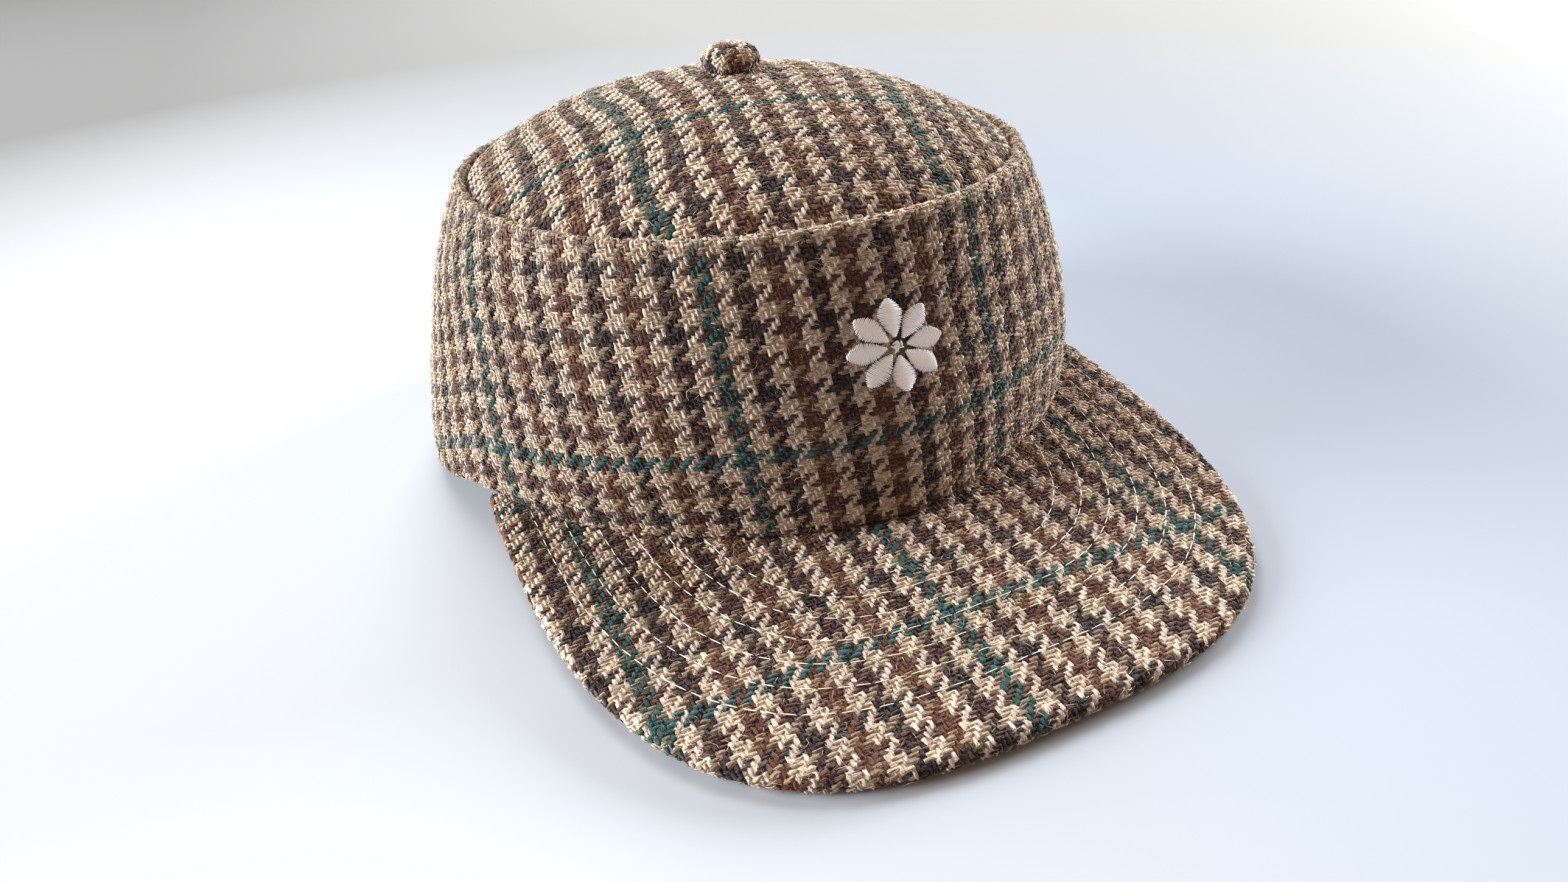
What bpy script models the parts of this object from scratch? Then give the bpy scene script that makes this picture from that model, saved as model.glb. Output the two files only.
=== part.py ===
"""A flat-topped tweed cap with a wide flat peak, lying on a table as it rests by itself.

Four pieces of cloth work, each one closed solid:
  side_band     the upright wall of the crown, with its turned-in hem and the rolled seam at its top
  top_panel     the domed cloth that closes the crown, seated inside the rolled seam
  crown_button  the cloth-covered button on the middle of the top
  peak          the wide flat peak, sewn under the front of the band

The table is z = 0, the peak points to -Y and the back of the cap to +Y. Everything is in metres.
The shapes are worked out about the middle of the crown's opening, and at the end all four pieces move
together along Y, so that the origin is the middle of the cap's length and width, on the table.
A turn is an angle about the crown, 0 at the front and 180 at the back.
"""

import math
from collections import namedtuple

import bmesh
import bpy

MM = 0.001

# the opening of the crown, measured outside the cloth
RIM_HALF_WIDTH = 99.0 * MM
RIM_HALF_LENGTH = 92.0 * MM

# the rolled seam where the band meets the top
RIDGE_HALF_WIDTH = 78.5 * MM
RIDGE_HALF_LENGTH = 77.5 * MM
RIDGE_SETBACK = 5.0 * MM
RIDGE_HEIGHT = 75.5 * MM
RIDGE_FALL = 0.026
RIDGE_SQUARENESS = 2.14
ROLL_RADIUS = 1.7 * MM

# the cloth
CLOTH = 2.0 * MM
HEM = 0.9 * MM
HEM_HEIGHT = 11.0 * MM
BAND_SWELL = 3.5 * MM
SEAM_GAP = 0.3 * MM

# the top panel and its button
DOME_HEIGHT = 22.0 * MM
DOME_FULLNESS = 0.83
BUTTON_RADIUS = 8.2 * MM
BUTTON_HEIGHT = 6.6 * MM

# the peak
PEAK_HALF_WIDTH = 91.5 * MM
PEAK_TIP = 155.5 * MM
PEAK_THICKNESS = 4.2 * MM
PEAK_SQUARENESS = 3.05
PEAK_RISE = 0.066
PEAK_CAMBER = 2.0 * MM
PEAK_TUCK = 0.4 * MM
PEAK_END_TURN = 70.0

# how finely the shapes are divided
AROUND = 96
PEAK_ACROSS = 60

# The plan of the rim. reach is a share of the plain oval's radius at that turn, and lift is a share
# of the height at which the rim would lie on the peak's own surface.
RimSection = namedtuple("RimSection", "turn reach lift")
RIM_SECTIONS = (
    RimSection(0, 0.985, 1.00),
    RimSection(30, 0.96, 1.00),
    RimSection(60, 0.97, 1.00),
    RimSection(72, 0.985, 1.00),
    RimSection(82, 1.005, 0.60),
    RimSection(92, 1.015, 0.20),
    RimSection(108, 1.01, 0.03),
    RimSection(130, 0.99, 0.00),
    RimSection(150, 0.99, 0.00),
    RimSection(180, 1.00, 0.00),
)

# The wall of the band, from the hem up to the seam. swell is a share of the band's swell.
WallSection = namedtuple("WallSection", "height swell")
WALL_SECTIONS = (
    WallSection(0.00, 0.00),
    WallSection(0.07, 0.24),
    WallSection(0.18, 0.58),
    WallSection(0.32, 0.86),
    WallSection(0.50, 1.00),
    WallSection(0.68, 0.98),
    WallSection(0.82, 0.72),
    WallSection(0.93, 0.33),
)

# Soft dents and bulges that the cloth has taken. depth is a share of the band's swell, the widths
# are in degrees of turn and shares of the band's height.
Fold = namedtuple("Fold", "turn height turn_width height_width depth")
BAND_FOLDS = (
    Fold(-78, 0.55, 14, 0.30, -0.34),
    Fold(-38, 0.30, 16, 0.35, 0.22),
    Fold(20, 0.72, 18, 0.25, -0.20),
    Fold(52, 0.35, 13, 0.35, 0.40),
    Fold(74, 0.60, 12, 0.40, -0.38),
    Fold(120, 0.45, 18, 0.40, 0.30),
    Fold(155, 0.50, 14, 0.35, -0.30),
    Fold(-130, 0.50, 20, 0.40, 0.28),
)

# Low swellings of the top panel. reach is a share of the way out to the seam, height a share of the dome.
Swelling = namedtuple("Swelling", "turn reach width height")
TOP_SWELLINGS = (
    Swelling(-120, 0.62, 0.30, 0.050),
    Swelling(-50, 0.66, 0.28, -0.030),
    Swelling(60, 0.60, 0.32, 0.030),
    Swelling(150, 0.55, 0.30, -0.025),
)

# How far out the rings of the top panel lie, as shares of the way to the seam.
TOP_RINGS = (0.14, 0.32, 0.50, 0.66, 0.80, 0.90, 0.96, 1.0)

# The button's outline, as shares of its radius and height.
ButtonSection = namedtuple("ButtonSection", "reach height")
BUTTON_SECTIONS = (
    ButtonSection(0.80, 0.00),
    ButtonSection(0.94, 0.12),
    ButtonSection(1.00, 0.32),
    ButtonSection(0.97, 0.54),
    ButtonSection(0.85, 0.76),
    ButtonSection(0.62, 0.91),
    ButtonSection(0.32, 0.985),
)
BUTTON_SIDES = 32

# Where the rings of the peak lie, as shares of the way from the seam to the outer edge.
PEAK_RINGS = (0.0, 0.12, 0.26, 0.42, 0.58, 0.74, 0.88)

# Colours of the cloth, seen from afar, and its dull surface.
TWEED_LIGHT = (0.42, 0.31, 0.20, 1.0)
TWEED_DARK = (0.30, 0.21, 0.14, 1.0)
CLOTH_ROUGHNESS = 0.95


def along(rows, column, place, at):
    """The value of a column of a table at a place between its rows, on a smooth curve through them."""
    places = [getattr(row, place) for row in rows]
    values = [getattr(row, column) for row in rows]
    last = len(rows) - 1
    at = min(max(at, places[0]), places[last])
    i = max(k for k in range(last) if places[k] <= at)
    step = places[i + 1] - places[i]
    share = (at - places[i]) / step

    def slope(k):
        if k == 0 or k == last:
            return 0.0
        return (values[k + 1] - values[k - 1]) / (places[k + 1] - places[k - 1])

    a, b = values[i], values[i + 1]
    cubic = 2 * share**3 - 3 * share**2
    return (
        a * (1 + cubic)
        - b * cubic
        + slope(i) * step * (share**3 - 2 * share**2 + share)
        + slope(i + 1) * step * (share**3 - share**2)
    )


def power(value, squareness):
    """The signed power that turns a circle into a squarer oval."""
    return math.copysign(abs(value) ** (2 / squareness), value)


def bell(distance, width):
    """A smooth hump, 1 in its middle and near 0 two widths away."""
    return math.exp(-((distance / width) ** 2))


def turn_between(a, b):
    """The smaller angle between two turns, in degrees."""
    return (a - b + 180) % 360 - 180


def peak_slope(x, y):
    """How far the peak has risen from its tip, less what it droops to its sides."""
    return PEAK_RISE * (y + PEAK_TIP) - PEAK_CAMBER * (x / PEAK_HALF_WIDTH) ** 2


def outer_edge(share, side_y):
    """A point of the peak's outer edge. share runs from -1 to 1, and side_y is where its sides end."""
    angle = math.radians(90 * share)
    x = PEAK_HALF_WIDTH * power(math.sin(angle), PEAK_SQUARENESS)
    y = side_y - (PEAK_TIP + side_y) * power(math.cos(angle), PEAK_SQUARENESS)
    return x, y


# The peak lies on the table with the lowest stretch of its edge.
EDGE_SAMPLES = 90
PEAK_LOWEST = min(peak_slope(*outer_edge(i / EDGE_SAMPLES, 0.0)) for i in range(EDGE_SAMPLES))


def peak_top(x, y):
    """The height of the peak's upper face above the table."""
    return PEAK_THICKNESS + peak_slope(x, y) - PEAK_LOWEST


def rim_point(turn, inset=0.0):
    """A point of the crown's lower edge, a distance inside its outer line."""
    angle = math.radians(turn)
    side = abs(turn_between(turn, 0))
    oval = 1 / math.hypot(math.sin(angle) / RIM_HALF_WIDTH, math.cos(angle) / RIM_HALF_LENGTH)
    reach = oval * along(RIM_SECTIONS, "reach", "turn", side) - inset
    x = reach * math.sin(angle)
    y = -reach * math.cos(angle)
    lift = along(RIM_SECTIONS, "lift", "turn", side)
    return x, y, max(lift, 0.0) * (peak_top(x, y) + SEAM_GAP)


def ridge_point(turn, inset=0.0):
    """A point of the outermost line of the rolled seam, or a distance inside it."""
    angle = math.radians(turn)
    x = (RIDGE_HALF_WIDTH - inset) * power(math.sin(angle), RIDGE_SQUARENESS)
    y = -(RIDGE_HALF_LENGTH - inset) * power(math.cos(angle), RIDGE_SQUARENESS)
    return x, y + RIDGE_SETBACK, RIDGE_HEIGHT - RIDGE_FALL * y


def band_point(turn, height, inset=0.0):
    """A point of the band's wall. height is a share of the way from the hem to the rolled seam."""
    low = rim_point(turn, inset)
    high = ridge_point(turn, inset)
    swell = along(WALL_SECTIONS + (WallSection(1.0, 0.0),), "swell", "height", height)
    edge = math.sin(math.pi * height)
    for fold in BAND_FOLDS:
        hump = bell(turn_between(turn, fold.turn), fold.turn_width)
        swell += fold.depth * edge * hump * bell(height - fold.height, fold.height_width)
    out = swell * BAND_SWELL
    angle = math.radians(turn)
    x = low[0] + (high[0] - low[0]) * height + out * math.sin(angle)
    y = low[1] + (high[1] - low[1]) * height - out * math.cos(angle)
    return x, y, low[2] + (high[2] - low[2]) * height


def top_point(turn, reach, inset, drop=0.0):
    """A point of the top panel. reach is a share of the way out to the panel's edge."""
    x, y, edge_height = ridge_point(turn, inset)
    x *= reach
    y = RIDGE_SETBACK + (y - RIDGE_SETBACK) * reach
    rise = (1 - reach**2) ** DOME_FULLNESS
    for swelling in TOP_SWELLINGS:
        angle = math.radians(turn - swelling.turn)
        apart = math.sqrt(reach**2 + swelling.reach**2 - 2 * reach * swelling.reach * math.cos(angle))
        rise += swelling.height * bell(apart, swelling.width) * (1 - reach**2)
    z = RIDGE_HEIGHT + (edge_height - RIDGE_HEIGHT) * reach
    return x, y, z + rise * DOME_HEIGHT - drop


def turns(count):
    """Evenly spaced turns about the crown."""
    return [360 * i / count for i in range(count)]


def finish_mesh(name, bm, colour):
    """Turns a bmesh into an object with its own cloth material."""
    bmesh.ops.recalc_face_normals(bm, faces=bm.faces)
    mesh = bpy.data.meshes.new(name)
    bm.to_mesh(mesh)
    bm.free()
    mesh.shade_smooth()
    mesh.set_sharp_from_angle(angle=math.radians(50))
    material = bpy.data.materials.new(name + "_cloth")
    material.use_nodes = True
    shader = material.node_tree.nodes["Principled BSDF"]
    shader.inputs["Base Color"].default_value = colour
    shader.inputs["Roughness"].default_value = CLOTH_ROUGHNESS
    shader.inputs["Metallic"].default_value = 0.0
    mesh.materials.append(material)
    thing = bpy.data.objects.new(name, mesh)
    bpy.context.scene.collection.objects.link(thing)
    return thing


def bridge(bm, ring_a, ring_b):
    """Joins two closed rings of vertices with four-sided faces."""
    for i in range(len(ring_a)):
        j = (i + 1) % len(ring_a)
        bm.faces.new((ring_a[i], ring_a[j], ring_b[j], ring_b[i]))


def add_ring(bm, points):
    """Adds one ring of vertices."""
    return [bm.verts.new(point) for point in points]


def fan(bm, ring, centre):
    """Closes a ring with triangles to one centre vertex."""
    tip = bm.verts.new(centre)
    for i, vert in enumerate(ring):
        bm.faces.new((vert, ring[(i + 1) % len(ring)], tip))


def wall_at(height):
    """The thickness of the band's wall, with the hem that is turned in at its foot."""
    hem_share = HEM_HEIGHT / RIDGE_HEIGHT
    if height <= hem_share:
        return CLOTH + HEM
    return CLOTH


def make_side_band():
    """The wall of the crown: up outside, over the rolled seam, and down inside to the hem."""
    hem_share = HEM_HEIGHT / RIDGE_HEIGHT
    outside = [section.height for section in WALL_SECTIONS]
    inside = [0.90, 0.72, 0.50, 0.32, hem_share + 0.03, hem_share, 0.0]
    sweep = [math.radians(degrees) for degrees in (0, 45, 90, 135, 180)]
    bm = bmesh.new()
    rings = [add_ring(bm, [band_point(turn, height) for turn in turns(AROUND)]) for height in outside]
    for angle in sweep:
        inset = ROLL_RADIUS * (1 - math.cos(angle))
        points = []
        for turn in turns(AROUND):
            x, y, z = ridge_point(turn, inset)
            points.append((x, y, z + ROLL_RADIUS * math.sin(angle)))
        rings.append(add_ring(bm, points))
    foot_of_roll = [ridge_point(turn, 2 * ROLL_RADIUS) for turn in turns(AROUND)]
    rings.append(add_ring(bm, [(x, y, z - CLOTH - SEAM_GAP) for x, y, z in foot_of_roll]))
    for height in inside:
        points = [band_point(turn, height, wall_at(height)) for turn in turns(AROUND)]
        rings.append(add_ring(bm, points))
    for ring_a, ring_b in zip(rings, rings[1:] + rings[:1]):
        bridge(bm, ring_a, ring_b)
    return finish_mesh("side_band", bm, TWEED_DARK)


def make_top_panel():
    """The domed cloth, seated inside the rolled seam."""
    inset = 2 * ROLL_RADIUS + SEAM_GAP
    bm = bmesh.new()
    upper = []
    lower = []
    for reach in TOP_RINGS:
        upper.append(add_ring(bm, [top_point(turn, reach, inset) for turn in turns(AROUND)]))
    for reach in TOP_RINGS:
        points = [top_point(turn, reach, inset, drop=CLOTH) for turn in turns(AROUND)]
        lower.append(add_ring(bm, points))
    for rings in (upper, lower):
        for ring_a, ring_b in zip(rings, rings[1:]):
            bridge(bm, ring_a, ring_b)
    bridge(bm, upper[-1], lower[-1])
    fan(bm, upper[0], top_point(0, 0.0, inset))
    fan(bm, lower[0], top_point(0, 0.0, inset, drop=CLOTH))
    return finish_mesh("top_panel", bm, TWEED_LIGHT)


def make_crown_button():
    """The covered button, whose underside follows the top panel below it."""
    inset = 2 * ROLL_RADIUS + SEAM_GAP
    bm = bmesh.new()
    crown = top_point(0, 0.0, inset)[2]

    def under(reach, turn):
        spread = reach * BUTTON_RADIUS / (RIDGE_HALF_WIDTH - inset)
        return top_point(turn, spread, inset)[2] + SEAM_GAP

    rings = []
    for section in BUTTON_SECTIONS:
        points = []
        for turn in turns(BUTTON_SIDES):
            angle = math.radians(turn)
            x = section.reach * BUTTON_RADIUS * math.sin(angle)
            y = RIDGE_SETBACK - section.reach * BUTTON_RADIUS * math.cos(angle)
            low = under(section.reach, turn)
            z = low + section.height * (crown + SEAM_GAP + BUTTON_HEIGHT - low)
            points.append((x, y, z))
        rings.append(add_ring(bm, points))
    for ring_a, ring_b in zip(rings, rings[1:]):
        bridge(bm, ring_a, ring_b)
    fan(bm, rings[0], (0.0, RIDGE_SETBACK, crown + SEAM_GAP))
    fan(bm, rings[-1], (0.0, RIDGE_SETBACK, crown + SEAM_GAP + BUTTON_HEIGHT))
    return finish_mesh("crown_button", bm, TWEED_DARK)


def peak_lines(share):
    """The seam end and the outer end of one line across the peak. share runs from -1 to 1."""
    seam_inset = CLOTH + HEM + PEAK_TUCK
    inner = rim_point(share * PEAK_END_TURN, seam_inset)[:2]
    return inner, outer_edge(share, rim_point(PEAK_END_TURN)[1])


def peak_shares():
    """Shares across the peak, closer together round its front corners."""
    steps = [2 * i / PEAK_ACROSS - 1 for i in range(PEAK_ACROSS + 1)]
    return [math.copysign(abs(step) ** 0.9, step) for step in steps]


def make_peak():
    """The flat peak: upper face, rounded outer edge, lower face and the edge inside the seam."""
    half = PEAK_THICKNESS / 2
    edge = [math.radians(degrees) for degrees in (90, 45, 0, -45, -90)]
    bm = bmesh.new()
    lines = []
    for share in peak_shares():
        inner, outer = peak_lines(share)
        across = (outer[0] - inner[0], outer[1] - inner[1])
        length = math.hypot(*across)
        rounding = min(half, 0.45 * length)

        def place(reach, depth):
            x = inner[0] + across[0] * reach
            y = inner[1] + across[1] * reach
            return x, y, peak_top(x, y) - depth

        loop = [place(reach * (1 - rounding / length), 0.0) for reach in PEAK_RINGS]
        for angle in edge:
            reach = 1 - rounding * (1 - math.cos(angle)) / length
            loop.append(place(reach, half - half * math.sin(angle)))
        for reach in reversed(PEAK_RINGS):
            loop.append(place(reach * (1 - rounding / length), PEAK_THICKNESS))
        lines.append(add_ring(bm, loop))
    for line_a, line_b in zip(lines, lines[1:]):
        bridge(bm, line_a, line_b)
    for line in (lines[0], lines[-1]):
        bm.faces.new(line)
    return finish_mesh("peak", bm, TWEED_DARK)


for old in list(bpy.data.objects):
    bpy.data.objects.remove(old, do_unlink=True)

pieces = [make_side_band(), make_top_panel(), make_crown_button(), make_peak()]
ends = [vert.co.y for piece in pieces for vert in piece.data.vertices]
for piece in pieces:
    piece.location.y = -(min(ends) + max(ends)) / 2
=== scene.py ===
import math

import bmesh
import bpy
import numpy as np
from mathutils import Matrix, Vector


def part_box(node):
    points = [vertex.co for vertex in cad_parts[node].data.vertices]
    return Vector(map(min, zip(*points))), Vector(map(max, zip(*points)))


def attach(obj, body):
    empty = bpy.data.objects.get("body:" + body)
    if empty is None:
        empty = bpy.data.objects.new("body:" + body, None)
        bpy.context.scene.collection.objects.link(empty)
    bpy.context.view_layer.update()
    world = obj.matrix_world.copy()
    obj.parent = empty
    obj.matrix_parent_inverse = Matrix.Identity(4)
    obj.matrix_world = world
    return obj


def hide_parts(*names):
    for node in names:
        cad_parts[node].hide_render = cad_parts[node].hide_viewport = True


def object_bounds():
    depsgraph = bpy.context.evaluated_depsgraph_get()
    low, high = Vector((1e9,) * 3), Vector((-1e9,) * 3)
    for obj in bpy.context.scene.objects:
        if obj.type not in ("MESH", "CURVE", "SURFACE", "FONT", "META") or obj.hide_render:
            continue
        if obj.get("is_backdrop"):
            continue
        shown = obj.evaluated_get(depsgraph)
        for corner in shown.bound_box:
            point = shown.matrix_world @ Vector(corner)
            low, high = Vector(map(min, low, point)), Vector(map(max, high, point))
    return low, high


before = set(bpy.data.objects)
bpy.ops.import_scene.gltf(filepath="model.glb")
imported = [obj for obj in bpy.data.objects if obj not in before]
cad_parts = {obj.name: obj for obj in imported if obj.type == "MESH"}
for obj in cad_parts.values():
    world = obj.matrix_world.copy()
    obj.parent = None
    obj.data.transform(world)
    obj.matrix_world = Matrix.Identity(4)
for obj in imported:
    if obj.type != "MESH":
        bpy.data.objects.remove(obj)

# %% [markdown]
# Dressing a tweed cap
#
# The solid parts that were just loaded have the right sizes and places, but they are plain. Here they
# get the cloth of the real cap: a houndstooth tweed in cream, charcoal and brown with a teal overcheck.
# The tweed is coarse, about ten threads to the centimetre, so from arm's length each thread can be seen.
# A picture or a flat colour would look dead. So every stretch of yarn that lies on top of the cloth is a
# small grain of its own, laid by Geometry Nodes where a weaver's draft puts it.
#
# First the solids are measured, because everything that follows is placed from them.

MM = 0.001
solid_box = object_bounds()
peak_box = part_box("peak")
print("the solid cap is", [round(side / MM, 1) for side in solid_box[1] - solid_box[0]], "mm")

# %% [markdown]
# The shape of the crown
#
# The cap is drawn in millimetres about the middle of the crown's opening, with turns counted in degrees
# round the crown from the front. The same few sizes shaped the solids, so the cloth fits over them.
# Each shape is a function of a turn and a height that takes whole arrays, because numpy then works out
# a few thousand points at once.

# %% Sizes of the crown and the peak, in millimetres
PEAK_TIP = 155.5
PEAK_HALF_WIDTH = 91.5
PEAK_THICKNESS = 4.2
PEAK_SQUARENESS = 3.05
PEAK_RISE = 0.066
PEAK_CAMBER = 2.0
PEAK_END_TURN = 70.0
RIM_HALF_WIDTH = 99.0
RIM_HALF_LENGTH = 92.0
RIDGE_HALF_WIDTH = 78.5
RIDGE_HALF_LENGTH = 77.5
RIDGE_SETBACK = 5.0
RIDGE_HEIGHT = 75.5
RIDGE_FALL = 0.026
RIDGE_SQUARENESS = 2.14
ROLL_RADIUS = 1.7
CLOTH = 2.0
HEM = 0.9
BAND_SWELL = 3.5
SEAM_GAP = 0.3
DOME_HEIGHT = 22.0
DOME_FULLNESS = 0.83
BUTTON_RADIUS = 8.2
BUTTON_HEIGHT = 6.6

# the cap's own place in the shared frame: the solid peak's tip says how far the crown was moved
CROWN_Y = peak_box[0].y / MM + PEAK_TIP
print("the crown's middle is", round(CROWN_Y, 2), "mm behind the middle of the cap")

# %% Tables of the rim, the wall and the soft dents
# turn, reach as a share of the plain oval, lift as a share of the peak's own height there
RIM = (
    (0, 0.985, 1.00), (30, 0.96, 1.00), (60, 0.97, 1.00), (72, 0.985, 1.00), (82, 1.005, 0.60),
    (92, 1.015, 0.20), (108, 1.01, 0.03), (130, 0.99, 0.00), (150, 0.99, 0.00), (180, 1.00, 0.00),
)
# height as a share of the wall, swell as a share of the band's swell
WALL = (
    (0.00, 0.00), (0.07, 0.24), (0.18, 0.58), (0.32, 0.86), (0.50, 1.00), (0.68, 0.98),
    (0.82, 0.72), (0.93, 0.33), (1.00, 0.00),
)
# turn, height, width in degrees, width as a share of the height, depth as a share of the swell
DENTS = (
    (-78, 0.55, 14, 0.30, -0.34), (-38, 0.30, 16, 0.35, 0.22), (20, 0.72, 18, 0.25, -0.20),
    (52, 0.35, 13, 0.35, 0.40), (74, 0.60, 12, 0.40, -0.38), (120, 0.45, 18, 0.40, 0.30),
    (155, 0.50, 14, 0.35, -0.30), (-130, 0.50, 20, 0.40, 0.28),
)
# turn, reach, width, height as a share of the dome
TOP_SWELLINGS = (
    (-120, 0.62, 0.30, 0.050), (-50, 0.66, 0.28, -0.030), (60, 0.60, 0.32, 0.030),
    (150, 0.55, 0.30, -0.025),
)


def follow(table, column, at):
    """A smooth curve through one column of a table, level at both of its ends."""
    rows = np.array(table, float)
    places, values = rows[:, 0], rows[:, column]
    slopes = np.zeros(len(rows))
    slopes[1:-1] = (values[2:] - values[:-2]) / (places[2:] - places[:-2])
    at = np.clip(at, places[0], places[-1])
    k = np.clip(np.searchsorted(places, at, side="right") - 1, 0, len(rows) - 2)
    step = places[k + 1] - places[k]
    share = (at - places[k]) / step
    ease = 3 * share**2 - 2 * share**3
    bend = slopes[k] * (share**3 - 2 * share**2 + share) + slopes[k + 1] * (share**3 - share**2)
    return values[k] * (1 - ease) + values[k + 1] * ease + step * bend


def bell(distance, width):
    """A smooth hump, 1 in its middle and near 0 two widths away."""
    return np.exp(-((distance / width) ** 2))


def between(turn, other):
    """The smaller angle between two turns, in degrees."""
    return (turn - other + 180) % 360 - 180


def squarer(value, squareness):
    """The signed power that turns a circle into a squarer oval."""
    return np.copysign(np.abs(value) ** (2 / squareness), value)


print("halfway up, the band swells out by", follow(WALL, 1, 0.5) * BAND_SWELL, "mm")


# %% The surfaces of the peak, the rim and the rolled seam
def outer_edge(share, side_y):
    """The peak's outer edge. share runs from -1 to 1, and side_y is where its sides end."""
    angle = np.radians(90 * np.asarray(share, float))
    x = PEAK_HALF_WIDTH * squarer(np.sin(angle), PEAK_SQUARENESS)
    y = side_y - (PEAK_TIP + side_y) * squarer(np.cos(angle), PEAK_SQUARENESS)
    return x, y


def peak_slope(x, y):
    """How far the peak has risen from its tip, less what it droops to its sides."""
    return PEAK_RISE * (y + PEAK_TIP) - PEAK_CAMBER * (x / PEAK_HALF_WIDTH) ** 2


PEAK_LOWEST = peak_slope(*outer_edge(np.arange(90) / 90, 0.0)).min()


def peak_top(x, y):
    """The height of the peak's upper face above the table."""
    return PEAK_THICKNESS + peak_slope(x, y) - PEAK_LOWEST


def rim_line(turn, inset=0.0):
    """The crown's lower edge, a distance inside its outer line."""
    angle = np.radians(turn)
    side = np.abs(between(turn, 0))
    oval = 1 / np.hypot(np.sin(angle) / RIM_HALF_WIDTH, np.cos(angle) / RIM_HALF_LENGTH)
    reach = oval * follow(RIM, 1, side) - inset
    x, y = reach * np.sin(angle), -reach * np.cos(angle)
    return np.stack([x, y, follow(RIM, 2, side).clip(0) * (peak_top(x, y) + SEAM_GAP)], -1)


def ridge_line(turn, inset=0.0):
    """The outermost line of the rolled seam, or a distance inside it."""
    angle = np.radians(turn)
    x = (RIDGE_HALF_WIDTH - inset) * squarer(np.sin(angle), RIDGE_SQUARENESS)
    y = -(RIDGE_HALF_LENGTH - inset) * squarer(np.cos(angle), RIDGE_SQUARENESS)
    return np.stack([x, y + RIDGE_SETBACK, RIDGE_HEIGHT - RIDGE_FALL * y], -1)


def band_wall(turn, height, inset=0.0):
    """The band's wall. height is a share of the way from the hem to the rolled seam."""
    low, high = rim_line(turn, inset), ridge_line(turn, inset)
    swell = follow(WALL, 1, np.full(np.shape(turn), float(height)))
    for place, middle, turn_width, height_width, depth in DENTS:
        hump = bell(between(turn, place), turn_width) * bell(height - middle, height_width)
        swell = swell + depth * math.sin(math.pi * height) * hump
    points = low + (high - low) * height
    angle = np.radians(turn)
    points[..., 0] += swell * BAND_SWELL * np.sin(angle)
    points[..., 1] -= swell * BAND_SWELL * np.cos(angle)
    return points


TOP_INSET = 2 * ROLL_RADIUS + SEAM_GAP


def top_dome(turn, reach, inset=TOP_INSET):
    """The domed top. reach is a share of the way out to the rolled seam."""
    points = ridge_line(turn, inset)
    edge_height = points[..., 2].copy()
    points[..., 0] *= reach
    points[..., 1] = RIDGE_SETBACK + (points[..., 1] - RIDGE_SETBACK) * reach
    rise = (1 - reach**2) ** DOME_FULLNESS
    for place, middle, width, height in TOP_SWELLINGS:
        angle = np.radians(turn - place)
        apart = np.sqrt(reach**2 + middle**2 - 2 * reach * middle * np.cos(angle))
        rise = rise + height * bell(apart, width) * (1 - reach**2)
    points[..., 2] = RIDGE_HEIGHT + (edge_height - RIDGE_HEIGHT) * reach + rise * DOME_HEIGHT
    return points


print("the middle of the top is", round(float(top_dome(np.zeros(1), 0.0)[0, 2]), 1), "mm above the table")

# %% [markdown]
# From a drawn shape to a mesh
#
# Woven cloth is a sheet with two directions, so each surface is made as a grid: rows of points that run
# round the cap, one row above the other. A second grid says where each point lay on the flat cloth
# before it was cut. It is kept as a UV map in metres of cloth, and both the weave and the colours are
# laid by it, so threads run over dents and round edges as they do on the real cap.

# %% Helpers that make a mesh from a grid
def in_frame(points):
    """Millimetres about the crown, turned into metres in the shared frame."""
    return (np.asarray(points, float) + (0.0, CROWN_Y, 0.0)) * MM


def show(mesh, name):
    """Links a mesh to the scene as an object of its own."""
    thing = bpy.data.objects.new(name, mesh)
    bpy.context.scene.collection.objects.link(thing)
    return thing


def grid_faces(rows, columns, wrap):
    """Four-sided faces of a grid, as numbers of its points. wrap joins the last row to the first."""
    numbers = np.arange(rows * columns).reshape(rows, columns)
    if wrap:
        numbers = np.vstack([numbers, numbers[:1]])
    corners = (numbers[:-1, :-1], numbers[:-1, 1:], numbers[1:, 1:], numbers[1:, :-1])
    return np.stack(corners, -1).reshape(-1, 4)


FLAT_MAP = "OFBake"


def cloth_grid(name, points, flat, wrap=False):
    """A mesh from a grid of points in millimetres, with the flat cloth as its UV map in metres."""
    rows, columns = points.shape[:2]
    faces = grid_faces(rows, columns, wrap)
    mesh = bpy.data.meshes.new(name)
    mesh.from_pydata(in_frame(points).reshape(-1, 3).tolist(), [], faces.tolist())
    layer = mesh.uv_layers.new(name=FLAT_MAP)
    layer.uv.foreach_set("vector", (flat.reshape(-1, 2)[faces.ravel()] * MM).ravel())
    mesh.shade_smooth()
    return mesh


def guide_sheet(name, points, flat, worn=None):
    """A bare sheet for other things to be laid on. It is turned so that it looks out of the cap."""
    mesh = cloth_grid(name, points, flat)
    # the painted highlight is a share for each row, paler along the crest of the roll
    if worn is not None:
        highlight_share = np.broadcast_to(worn[:, None], points.shape[:2]).ravel()
        mesh.attributes.new("worn", "FLOAT", "POINT").data.foreach_set("value", highlight_share)
    inside = Vector((0.0, CROWN_Y * MM, -50 * MM))
    outlook = sum((face.center - inside).dot(face.normal) * face.area for face in mesh.polygons)
    if outlook < 0:
        mesh.flip_normals()
    print("the", name, "was turned over" if outlook < 0 else "looked outwards already")
    return show(mesh, name)


def weld(mesh, distance=0.00002):
    """Joins the points that meet at a seam or a pole, and turns all faces outwards."""
    work = bmesh.new()
    work.from_mesh(mesh)
    bmesh.ops.remove_doubles(work, verts=work.verts, dist=distance)
    bmesh.ops.dissolve_degenerate(work, edges=work.edges, dist=distance / 4)
    bmesh.ops.recalc_face_normals(work, faces=work.faces)
    work.to_mesh(mesh)
    work.free()
    return mesh


print("a grid of 3 by 4 points has", len(grid_faces(3, 4, wrap=False)), "faces")

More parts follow.
